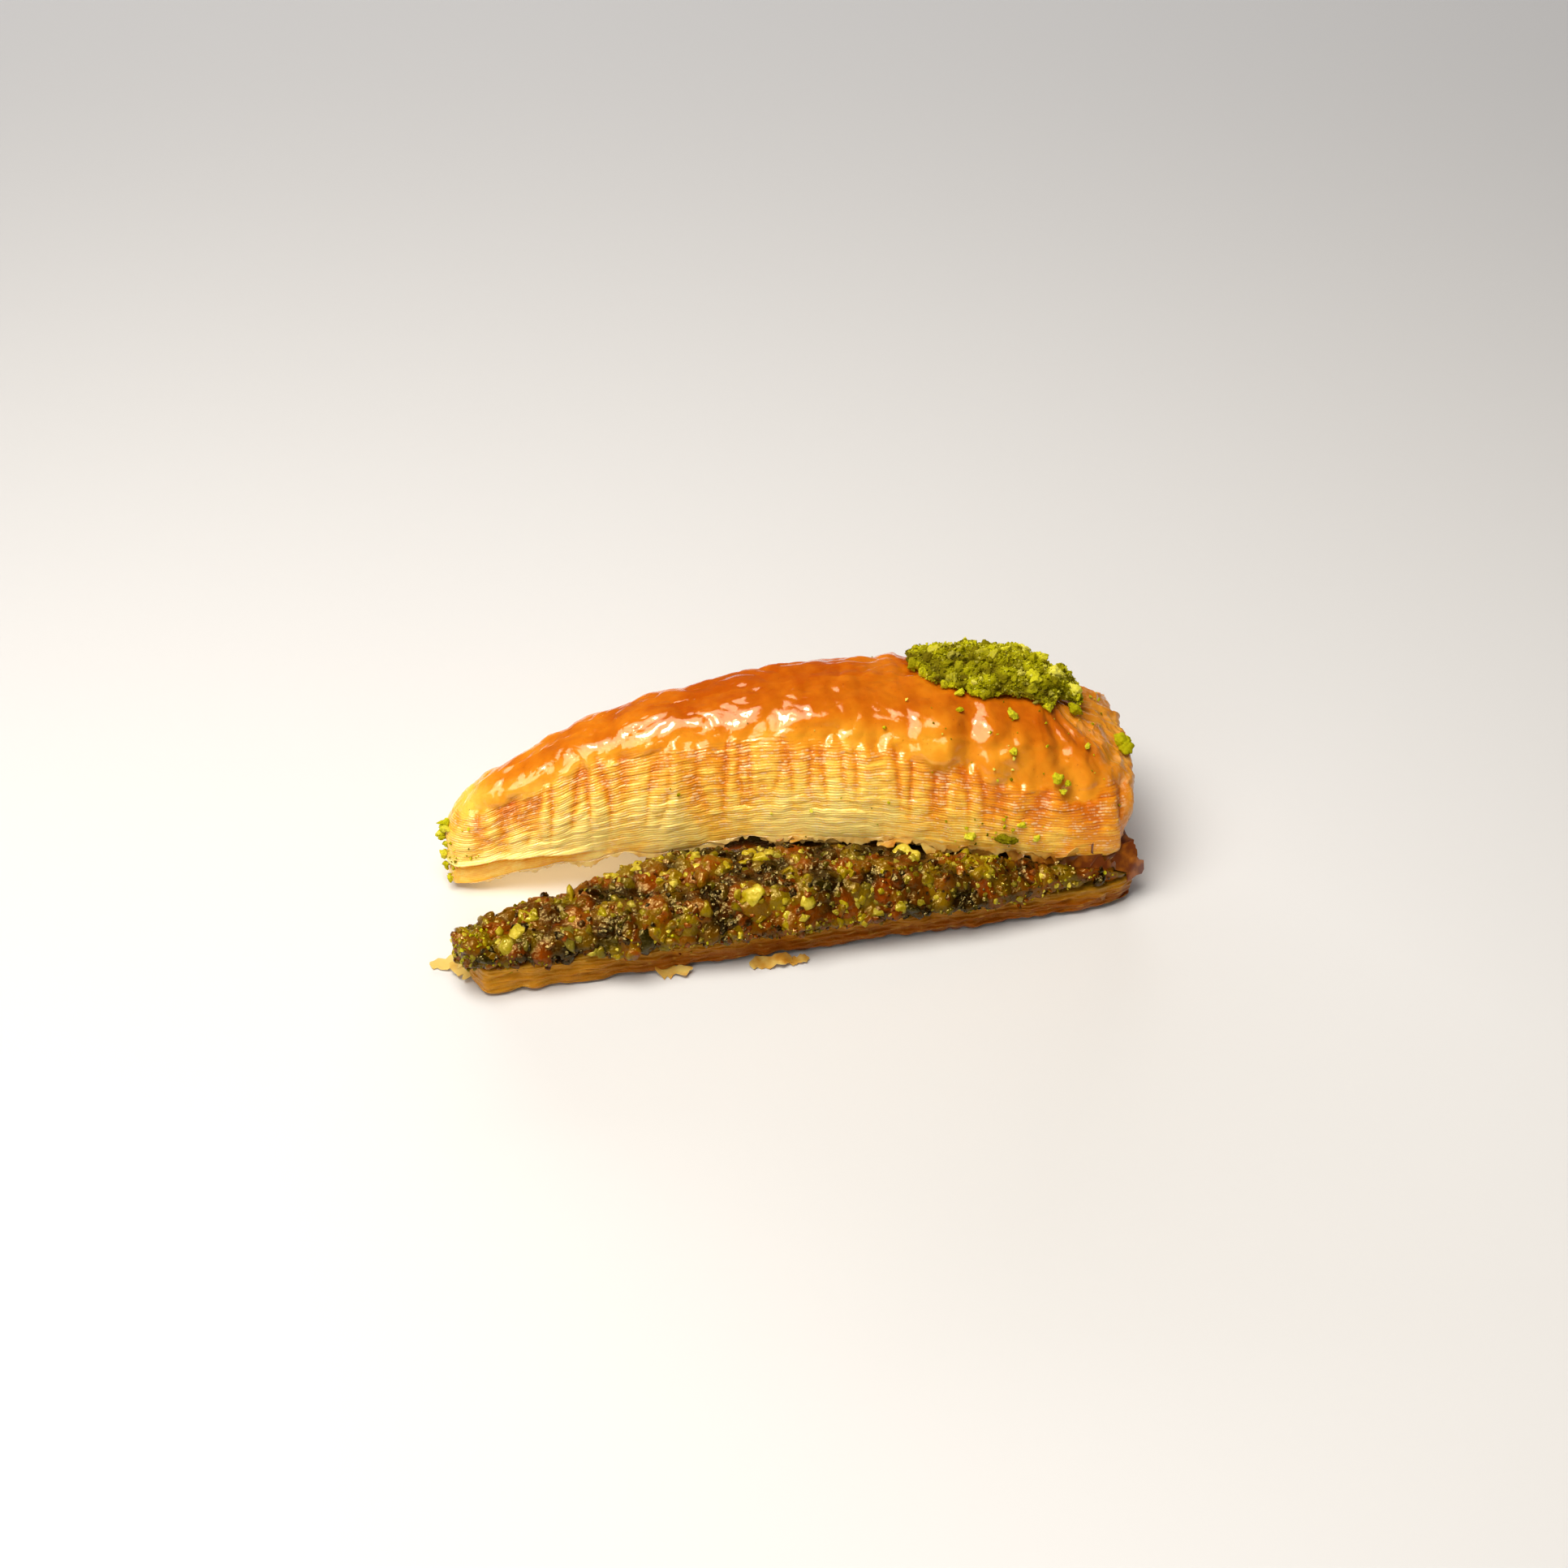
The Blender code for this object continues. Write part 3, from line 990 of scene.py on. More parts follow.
@dataclass
class Lid:
    """The puffed stack of leaves: cut sides, a folded glossy crust, a wrinkled rim.

    Args:
        leaves: how many leaves show on a cut side.
        shoulder: where the cut side's rows end, as a share of the height.
        crust_line: how far up the crust starts, by the distance from the tip.
        rim_start: how far from the tip the rim can start.
        leaf_edge: how far a leaf's edge stands out.
        leaf_reach: how far whole leaves stand out or in.
        pinch: how deep the upright pinches are.
        pinch_width: their spacing.
        bundle_leaves: how many leaves cling together.
        bundle_edge: how far a bundle's edge stands out.
        bundle_reach: how far whole bundles stand out or in.
        bulge: how far the side swells.
        fold: how deep the crust's folds are.
        fold_width: their spacing.
        pleat: how deep the pleats over the shoulder are.
        pleat_width: their spacing.
        blister: how far blisters stand out.
        bubbles: how many round bubbles lie under the crust.
        rim_wrinkle: how deep the rim's fibres are.
        rim_crumple: how deep its crumpled leaves are.
        ragged: how far the lower edge is torn.
        undercut: how far the underside is raised behind that edge.
        floor: the least height of any point.
    """

    leaves: int = 48
    shoulder: float = 0.80
    crust_line: tuple = ((0.0, 0.78), (0.05, 0.83), (0.09, 0.78), (0.125, 0.60), (0.155, 0.48))
    rim_start: float = 130.0 * MM
    leaf_edge: float = 0.16 * MM
    leaf_reach: float = 0.20 * MM
    pinch: float = 1.2 * MM
    pinch_width: float = 4.6 * MM
    bundle_leaves: float = 3.1
    bundle_edge: float = 0.13 * MM
    bundle_reach: float = 0.34 * MM
    bulge: float = 1.0 * MM
    fold: float = 2.2 * MM
    fold_width: float = 15.0 * MM
    pleat: float = 3.1 * MM
    pleat_width: float = 7.6 * MM
    blister: float = 0.60 * MM
    bubbles: int = 46
    rim_wrinkle: float = 0.5 * MM
    rim_crumple: float = 1.8 * MM
    ragged: float = 3.2 * MM
    undercut: float = 1.6 * MM
    floor: float = 0.05 * MM
    wrap: Wrap = field(init=False)

    def __post_init__(self) -> None:
        """Wraps the solid."""
        self.wrap = Wrap(Node.LID, tip_inset=0.010, rim_inset=0.026, pitch=0.5 * MM,
                         under_rows=10, side_rows=200, top_rows=70, shoulder=self.shoulder)

    def _masks(self) -> None:
        """Works out where the crust, its glaze, the rim and the tip's cut end are."""
        wrap, start = self.wrap, self.rim_start
        # The crust's lower line follows the same pinches as the leaves below it.
        wander = (0.06 * Noise(1)(wrap.drum(), 14 * MM)
                  + 0.10 * np.abs(Noise(7)(wrap.drum(wrap.rise * 3 * MM), self.pinch_width)))
        line = np.interp(wrap.along, *zip(*self.crust_line)) + wander
        self.line = line
        self.rim = ease(0.35, 0.8, wrap.to_rim) * ease(start, start + 20 * MM, wrap.along)
        self.tip = ease(-0.4, -0.85, wrap.to_rim) * ease(0.04, 0.02, wrap.along)
        self.crust = ease(-0.05, 0.035, wrap.rise - line)
        self.side = 1 - self.crust
        ragged_line = line - 0.02 + 0.05 * Noise(43)(wrap.drum(wrap.rise * 20 * MM), 3 * MM)
        self.glazed = ease(-0.05, 0.03, wrap.rise - ragged_line)
        self.above_edge = np.maximum(wrap.from_edge, 0.0)

    def _leaf_relief(self) -> np.ndarray:
        """The cut sides: leaf edges in bundles, pinched into upright columns.

        Returns:
            How far each point is pushed out.
        """
        wrap, rise = self.wrap, self.wrap.rise
        waver = (0.016 * Noise(2)(wrap.drum(rise * 0.02), 9 * MM)
                 + 0.008 * Noise(3)(wrap.drum(rise * 0.02), 2.6 * MM))
        leaf = self.leaves * (rise + waver)
        number = np.floor(leaf)
        part = leaf - number
        edge = self.leaf_edge * (1 - np.abs(2 * part - 1) ** 3)
        reach = self.leaf_reach * Noise(4)(wrap.drum(number * 1.7 * MM), 3.5 * MM)
        bundle = (leaf / self.bundle_leaves + 0.5 * Noise(5)(wrap.drum(), 16 * MM)
                  + 0.45 * Noise(30)(wrap.drum(rise * 12 * MM), 7 * MM))
        pile = np.floor(bundle)
        within = bundle - pile
        shingle = self.bundle_edge * (1 - np.abs(2 * within - 1) ** 2.5)
        shingle += self.bundle_reach * Noise(6)(wrap.drum(pile * 5 * MM), 4.5 * MM)
        column = np.abs(Noise(7)(wrap.drum(rise * 5 * MM + pile * 0.12 * MM), self.pinch_width))
        column = column**0.7
        pinch = self.pinch * (column - 0.45) * (0.25 + 0.75 * ease(0.15, 0.5, rise))
        bulge = self.bulge * Noise(8)(wrap.drum(rise * 12 * MM), 13 * MM)
        calm = 0.45 + 0.55 * ease(0.08, 0.3, rise + 0.08 * Noise(9)(wrap.drum(), 10 * MM))
        self.column = column
        # Near 1 in the narrow gaps between leaves, where shade is painted.
        self.leaf_gap_shade = np.abs(2 * part - 1) ** 4
        self.weave = wrap.drum(number * 0.9 * MM)
        return bulge + pinch + calm * (edge + reach + shingle)

    def _split_relief(self) -> np.ndarray:
        """The lowest leaves near the tip: a smooth flap, set in under the leaves above it.

        Returns:
            The relief at each point.
        """
        wrap = self.wrap
        height = (7.2 * MM - 0.09 * wrap.along) + 0.7 * MM * Noise(10)(wrap.drum(), 8 * MM)
        near_tip = ease(0.042, 0.026, wrap.along)
        self.flap = near_tip * ease(-0.3 * MM, 0.3 * MM, height - self.above_edge)
        groove = hump(0.35 * MM, 0.55 * MM, height - self.above_edge)
        lip = hump(0.7 * MM, 0.8 * MM, self.above_edge - height)
        return near_tip * (0.7 * MM * lip - 1.5 * MM * groove) - 1.0 * MM * self.flap

    def _crust_relief(self) -> np.ndarray:
        """The crust: folds down its shoulders, blisters, bubbles and fine wrinkles.

        Returns:
            The relief at each point.
        """
        wrap, place = self.wrap, self.wrap.grid
        bent = wrap.drum(wrap.rise * 5 * MM) + 2.5 * MM * Noise(11)(place, 12 * MM)[..., None]
        folds = np.sqrt(Noise(12)(bent, self.fold_width) ** 2 + 0.004)
        folds = 0.8 * folds + 0.3 * np.abs(Noise(27)(bent, 0.45 * self.fold_width))
        shoulder = 1 - 0.8 * ease(0.86, 1.0, wrap.rise)
        self.crown = folds
        soft = Noise(13)(place, (9 * MM, 6 * MM, 6 * MM))
        creases = np.abs(Noise(14)(place + 1.5 * MM * soft[..., None], 7 * MM))
        crinkles = np.abs(Noise(44)(place + 1.0 * MM * soft[..., None], 3.6 * MM))
        fine = Noise(15)(place, 1.8 * MM)
        relief = self.fold * (folds - 0.35) * shoulder
        pleats = Noise(28)(wrap.drum(wrap.rise * 4 * MM) + 1.5 * MM * soft[..., None],
                           self.pleat_width)
        relief += self.pleat * pleats * ease(0.085, 0.115, wrap.along) * shoulder
        relief += self.blister * (soft + 1.3 * creases + 0.45 * crinkles - 0.5)
        relief += 0.03 * MM * fine
        return relief + self._bubbles()

    def _bubbles(self) -> np.ndarray:
        """Small round bubbles under the crust.

        Returns:
            The relief at each point.
        """
        draw = np.random.default_rng(16)
        rows, columns = self.wrap.rise.shape
        place, relief = self.wrap.grid, np.zeros((rows, columns))
        first = self.wrap.under_rows + int(self.wrap.side_rows * 0.7)
        for _ in range(self.bubbles):
            spot = place[draw.integers(first, rows), draw.integers(columns)]
            radius = draw.uniform(0.7, 1.7) * MM
            away = np.linalg.norm(place - spot, axis=-1) / radius
            relief += 0.16 * radius * np.clip(1 - away**2, 0, 1) ** 0.7
        return relief

    def _rim_relief(self) -> np.ndarray:
        """The rim: upright fibres and crumpled leaves.

        Returns:
            The relief at each point.
        """
        wrap, place = self.wrap, self.wrap.grid
        fibres = Noise(17)(wrap.drum(self.above_edge * 0.12), 1.1 * MM)
        leaning = place + 1.2 * MM * Noise(29)(place, 9 * MM)[..., None]
        crumple = 1 - np.abs(Noise(18)(leaning, (5.0 * MM, 5.0 * MM, 22 * MM)))
        small = 1 - np.abs(Noise(19)(leaning, (1.8 * MM, 1.8 * MM, 10 * MM)))
        return (self.rim_wrinkle * fibres + self.rim_crumple * (crumple**3 - 0.5)
                + 0.3 * MM * (small**3 - 0.5))

    def _crease(self) -> np.ndarray:
        """The upright crease where the cut side turns into the rim.

        Returns:
            The relief at each point.
        """
        turn = self.wrap.to_rim
        wander = 0.10 * Noise(20)(at(self.above_edge), 6 * MM)
        far = ease(self.rim_start, self.rim_start + 10 * MM, self.wrap.along)
        return -1.1 * MM * hump(0.5, 0.10, turn + wander) * far * ease(0.15, 0.4, self.wrap.rise)

    def _shape(self) -> None:
        """Works out the relief, the marks for the finish and the final grid."""
        self._masks()
        wrap = self.wrap
        under = np.arange(wrap.grid.shape[0])[:, None] < wrap.under_rows
        split = self._split_relief()
        side = self._leaf_relief() * (1 - 0.65 * self.flap) + split
        top = self._crust_relief() + 0.15 * MM
        cut = (1 - self.rim) * (1 - 0.6 * self.tip)
        mixed = side * self.side + top * self.crust
        relief = mixed * cut + (self._rim_relief() * 0.8 + top * 0.5 * self.crust) * self.rim
        relief += self._crease()
        relief = np.where(under, 0.3 * MM * Noise(21)(wrap.grid, 5 * MM), relief)
        grid = wrap.pushed(relief)
        torn = ease(0.05, 0.08, wrap.along)
        tear = (self.ragged * (0.4 + 0.6 * torn) * Noise(22)(wrap.drum(), 8 * MM)
                + self.ragged * torn * (0.6 * Noise(23)(wrap.drum(), 2.6 * MM)
                                        + 0.2 * Noise(26)(wrap.drum(), 0.9 * MM)) - 0.3 * MM)
        near_edge = 1 - ease(0.0, 4.0 * MM, np.abs(wrap.from_edge))
        row = np.arange(grid.shape[0])[:, None]
        inner = (row > 0) & (row < wrap.under_rows)
        grid[..., 2] += np.where(inner, self.undercut, tear * near_edge)
        grid[..., 2] = np.maximum(grid[..., 2], self.floor)
        self.grid = grid
        self.relief = relief
        self._mark()

    def _browning(self) -> np.ndarray:
        """Works out how browned the pastry is.

        Returns:
            From 0 for soft leaves to 1 for dark crust, at each point.
        """
        wrap = self.wrap
        patchy = Noise(24)(wrap.drum(wrap.rise * 20 * MM), 12 * MM)
        share = np.clip(wrap.rise / self.line, 0, 1.2)
        dip = ease(0.55, 0.1, self.column)
        cells = Noise(25)(wrap.drum(wrap.rise * 90 * MM), 3.4 * MM)
        side = -0.03 + 0.55 * share**2.2 + 0.09 * patchy + 0.14 * cells
        side += 0.26 * dip * ease(0.15, 0.7, share)
        side += 0.34 * ease(0.095, 0.15, wrap.along)
        valley = np.clip(0.5 - self.crown, 0, 1)
        top = 0.50 + 0.36 * ease(0.5, 1.0, wrap.normals[..., 2]) + 0.10 * patchy + 0.28 * valley
        baked = side * (1 - self.glazed) + top * self.glazed
        baked = baked * (1 - self.rim) + (0.42 + 0.25 * patchy) * self.rim
        baked -= 0.14 * ease(0.055, 0.0, wrap.along)
        return baked * (1 - 0.6 * self.tip) * (1 - 0.5 * self.flap)

    def _mark(self) -> None:
        """Works out the marks that the finish and the strewn pieces read."""
        wrap = self.wrap
        groove = (1 - np.clip(self.relief / (0.8 * MM) + 0.7, 0, 1)) * self.side
        spill = np.zeros_like(wrap.rise)
        for spot, radius, crowd in SPILLS:
            away = np.linalg.norm(wrap.grid - np.array(spot) * MM, axis=-1)
            spill = np.maximum(spill, crowd * hump(0.0, radius * MM, away))
        torn_edge = hump(0.0, 2 * MM, wrap.from_edge) * ease(0.07, 0.09, wrap.along)
        # The mark gap says where shade is painted between the leaves.
        self.marks = {"baked": self._browning(), "crust": self.glazed * (1 - 0.85 * self.rim),
                      "groove": groove, "spill": spill, "torn": torn_edge, "weave": self.weave,
                      "gap": self.leaf_gap_shade * self.side * (1 - self.rim), "dry": self.rim,
                      "flap": self.flap}

    def _hang(self, skin: Skin) -> bpy.types.Object:
        """Hangs a thin torn leaf from the lower edge.

        Args:
            skin: its sizes.

        Returns:
            The closed piece.
        """
        wrap, seed = self.wrap, skin.seed
        first, last = np.searchsorted(wrap.shares[:wrap.half + 1], skin.shares)
        pick = np.arange(first, last)
        around = wrap.drum()[0, pick]
        tears = (0.45 + 0.8 * Noise(seed)(around, 8 * MM) + 0.5 * Noise(seed + 1)(around, 2.6 * MM)
                 + 0.3 * Noise(seed + 2)(around, 0.9 * MM))
        ends = ease(0.0, 12.0, np.minimum(pick - first, last - 1 - pick).astype(float))
        length = skin.drop * np.clip(tears, 0.05, 1.2) * (0.05 + 0.95 * ends)
        row = wrap.under_rows + skin.lift
        start = self.grid[row, pick]
        out = wrap.facing(self.grid)[row, pick] * (1, 1, 0)
        out /= np.linalg.norm(out, axis=1, keepdims=True)
        flare = skin.flare + 0.3 * Noise(seed + 3)(around, 4 * MM)
        fronts, backs = [], []
        for step in np.linspace(1.0, 0.0, skin.rows):
            away = 0.20 * MM + flare * length * step**2 - 0.5 * MM * (1 - step) ** 4
            place = start + out * away[:, None] - at(0, 0, length * step)
            fronts.append(place)
            backs.append(place - out * skin.thick * (1.2 - step))
        grid = np.array(fronts + backs[::-1])
        grid[..., 2] = np.maximum(grid[..., 2], self.floor)
        shade = np.linspace(*skin.tint, len(pick)) + 0.25 * Noise(seed + 4)(around, 5 * MM)
        piece = sheet(skin.name, grid, {"tint": np.tile(shade, (len(grid), 1))}, True, False)
        piece.data.materials.append(TornLeaf().material())
        return piece

    def skins(self) -> list[bpy.types.Object]:
        """Makes the torn leaves and strands along the lower edge."""
        return [self._hang(skin) for skin in SKINS]

    def build(self) -> list[bpy.types.Object]:
        """Makes the crust and the two halves of the stack of leaves.

        Returns:
            The near leaves, the far leaves and the crust.
        """
        self._shape()
        wrap = self.wrap
        last = wrap.under_rows + wrap.side_rows
        count = 2 * wrap.half
        low = list(range(last + 1)) + [-1]
        high = [-1] + list(range(last, wrap.grid.shape[0]))
        pieces = [
            self._piece("near_leaves", low, range(wrap.half + 1)),
            self._piece("far_leaves", low, [*range(wrap.half, count), 0]),
            self._piece("crust", high, range(count))]
        material = BakedPastry().material()
        for piece in pieces:
            piece.data.materials.append(material)
            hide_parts(Node.LID.value)
        return pieces

    def _piece(self, name: str, rows: list[int], columns: Any) -> bpy.types.Object:
        """Cuts a piece out of the grid.

        Args:
            name: the piece's name.
            rows: the grid's rows that it takes; -1 is the line inside the solid.
            columns: the grid's columns that it takes.

        Returns:
            The closed piece.
        """
        pick = np.ix_(rows, columns)
        whole = len(columns) == self.grid.shape[1]
        grid = np.concatenate((self.grid, self.wrap.spine[None]))[pick]
        facing = self.wrap.facing(self.grid)
        facing = np.concatenate((facing, -at(np.zeros(facing.shape[1]), 0, 1)[None]))[pick]
        marks = {name: np.concatenate((values, values[-1:]))[pick]
                 for name, values in self.marks.items()}
        return sheet(name, grid, marks, not whole, whole, facing)


class Chip(Enum):
    """What a scattered piece is shaped like."""

    LUMP = "lump"
    CHUNK = "chunk"
    GRAIN = "grain"
    CLUMP = "clump"
    FLAKE = "flake"


@dataclass(frozen=True)
class Knobs:
    """How a lump that is one unit wide is covered in knobs.

    Args:
        level: how finely the lump is divided.
        spacing: the knobs' spacing.
        height: how far they stand out.
    """

    level: int
    spacing: float
    height: float


def add_hull(work: bmesh.types.BMesh, draw: np.random.Generator, points: int, squash: float,
             width: float = 1.0, middle: tuple = (0.0, 0.0, 0.0)) -> None:
    """Adds a chopped piece of nut: a hull round random points, one side cut flat.

    Args:
        work: the mesh that it is added to.
        draw: where the random numbers come from.
        points: how many points the hull goes round.
        squash: its thickness over its width.
        width: its width.
        middle: where it lies.
    """
    spots = draw.normal(size=(points, 3))
    spots /= np.linalg.norm(spots, axis=1, keepdims=True)
    spots *= draw.uniform(0.82, 1.0, (points, 1))
    spots[:, 2] = np.clip(spots[:, 2], *np.sort(draw.uniform((-1, 0.45), (-0.5, 1))))
    spots *= 0.5 * width * np.array((1.0, draw.uniform(0.6, 0.9), squash))
    verts = [work.verts.new(spot + middle) for spot in spots]
    hull = bmesh.ops.convex_hull(work, input=verts)
    loose = [item for item in hull["geom_interior"] if isinstance(item, bmesh.types.BMVert)]
    bmesh.ops.delete(work, geom=loose, context="VERTS")


def kind_object(name: str, work: bmesh.types.BMesh, sharp: float) -> bpy.types.Object:
    """Ends a mesh as an object that belongs to no scene.

    Args:
        name: the object's name.
        work: the mesh, which is freed.
        sharp: the angle in degrees above which an edge is sharp.

    Returns:
        The object.
    """
    bmesh.ops.recalc_face_normals(work, faces=work.faces)
    mesh = bpy.data.meshes.new(name)
    work.to_mesh(mesh)
    work.free()
    mesh.shade_smooth()
    mesh.set_sharp_from_angle(angle=math.radians(sharp))
    return bpy.data.objects.new(name, mesh)


def chopped(name: str, seed: int, squash: float, knob: bool) -> bpy.types.Object:
    """One chopped piece of nut, one unit wide.

    Args:
        name: the object's name.
        seed: the piece's own draw.
        squash: its thickness over its width.
        knob: whether it is a large piece, of more faces and with a knob on it.

    Returns:
        The object, which belongs to no scene.
    """
    points, sharp = (17, 62) if knob else (11, 48)
    work = bmesh.new()
    draw = np.random.default_rng(seed)
    add_hull(work, draw, points, squash)
    if knob:
        way = draw.normal(size=3)
        middle = way / np.linalg.norm(way) * draw.uniform(0.20, 0.36)
        add_hull(work, draw, 11, 0.85, draw.uniform(0.4, 0.65), tuple(middle))
    return kind_object(name, work, sharp)


def knobbly(name: str, seed: int, knobs: Knobs) -> bpy.types.Object:
    """A roughly chopped lump covered in knobs, about one unit wide.

    Args:
        name: the object's name.
        seed: the lump's own draw.
        knobs: how it is covered in knobs.

    Returns:
        The object, which belongs to no scene.
    """
    facets, roundness, widest = 11, 9, 0.56
    draw = np.random.default_rng(seed)
    work = bmesh.new()
    bmesh.ops.create_icosphere(work, subdivisions=knobs.level, radius=1.0)
    ways = np.array([tuple(vert.co) for vert in work.verts])
    cuts = draw.normal(size=(facets, 3))
    cuts /= np.linalg.norm(cuts, axis=1, keepdims=True) * draw.uniform(0.32, 0.5, (facets, 1))
    near = np.clip(ways @ cuts.T, 0.1, None) ** roundness
    reach = near.sum(axis=1, keepdims=True) ** (-1 / roundness)
    spots = ways * np.minimum(reach, widest)
    noise = Noise(seed)
    away, _ = noise.lumps(spots, knobs.spacing)
    grow = 0.9 + 0.4 * noise(spots + 3.0, 0.5) + knobs.height * (0.7 - away**1.3)
    spots *= grow[:, None] * np.array((1.0, draw.uniform(0.65, 0.95), draw.uniform(0.5, 0.8)))
    for vert, spot in zip(work.verts, spots):
        vert.co = spot
    return kind_object(name, work, 180)


def joined(name: str, parts: list[tuple[bpy.types.Object, float]]) -> bpy.types.Object:
    """Pieces of one kind as one object, with a mark for their colours.

    Args:
        name: the object's name.
        parts: each piece, its mesh already in its place, and its tint from 0 to 1.

    Returns:
        The object.
    """
    work = bmesh.new()
    work.verts.layers.float.new("tint")
    for part, tint in parts:
        first = len(work.verts)
        work.from_mesh(part.data)
        bpy.data.meshes.remove(part.data)
        layer = work.verts.layers.float["tint"]
        work.verts.ensure_lookup_table()
        for vert in work.verts[first:]:
            vert[layer] = tint
    mesh = bpy.data.meshes.new(name)
    work.to_mesh(mesh)
    work.free()
    mesh.shade_smooth()
    return new_object(name, mesh)


def placed(name: str, picks: tuple, seed: int, knobs: Knobs,
           ground: BVHTree | None = None) -> bpy.types.Object:
    """Lumps at places of their own, as one object with a mark for their colours.

    Args:
        name: the object's name.
        picks: each lump's place and width in millimetres, and its tint from 0 to 1.
        seed: the draw of their shapes and turns.
        knobs: how they are covered in knobs.
        ground: a surface; each lump is moved to the nearest place on it.

    Returns:
        The object.
    """
    draw = np.random.default_rng(seed)
    parts = []
    for number, (place, width, tint) in enumerate(picks):
        lump = knobbly(name, seed + number, knobs)
        middle = Vector(place) * MM
        if ground:
            spot, facing, _, _ = ground.find_nearest(middle)
            middle = spot + facing * 0.2 * width * MM
        turn = Euler(draw.uniform(-0.6, 0.6, 3) + (0, 0, draw.uniform(0, 6.3)))
        lump.data.transform(Matrix.LocRotScale(middle, turn, [width * MM] * 3))
        parts.append((lump, tint))
    return joined(name, parts)


def torn(name: str, seed: int, thick: float) -> bpy.types.Object:
    """A torn, curled leaf of pastry one unit long, with a ragged outline.

    Args:
        name: the object's name.
        seed: the leaf's own draw.
        thick: its thickness over its length.

    Returns:
        The object, which belongs to no scene.
    """
    draw = np.random.default_rng(seed)
    count = 13
    along = np.linspace(-0.5, 0.5, count)
    ends = np.sqrt(np.clip(1 - (2.02 * along) ** 2, 0.02, 1))
    near = -ends * draw.uniform(0.12, 0.34, count)
    far = ends * draw.uniform(0.10, 0.30, count)
    curl = draw.uniform(-0.5, 0.5) * along**2 + 0.05 * np.sin(draw.uniform(5, 9) * along)
    twist = draw.uniform(-0.35, 0.35)
    work = bmesh.new()
    sides = []
    for lift in (thick / 2, -thick / 2):
        rows = [[work.verts.new((x, y, c + twist * x * y + lift)) for y in (a, (a + b) / 2, b)]
                for x, a, b, c in zip(along, near, far, curl)]
        sides.append(rows)
    for rows, turn in zip(sides, (1, -1)):
        for this, after in zip(rows, rows[1:]):
            for i in (0, 1):
                work.faces.new((this[i], after[i], after[i + 1], this[i + 1])[::turn])
    rim, low = [[r[0] for r in rows] + rows[-1][1:] + [r[2] for r in rows[-2::-1]] + [rows[0][1]]
                for rows in sides]
    for i, _ in enumerate(rim):
        j = (i + 1) % len(rim)
        work.faces.new((rim[i], low[i], low[j], rim[j]))
    return kind_object(name, work, 50)


def placed_leaves(name: str, picks: tuple, seed: int) -> bpy.types.Object:
    """Torn leaves at places of their own, none of them below the floor, as one object.

    Args:
        name: the object's name.
        picks: each leaf's place and length in millimetres, its turns in degrees and its tint.
        seed: the draw of their outlines.

    Returns:
        The object.
    """
    parts = []
    for number, (place, length, turns, tint) in enumerate(picks):
        leaf = torn(name, seed + number, 0.02)
        leaf.data.transform(Matrix.LocRotScale(
            Vector(place) * MM, Euler(map(math.radians, turns)), [length * MM] * 3))
        sunk = min(0.0, min(vert.co.z for vert in leaf.data.vertices))
        leaf.data.transform(Matrix.Translation((0, 0, -sunk)))
        parts.append((leaf, tint))
    return joined(name, parts)


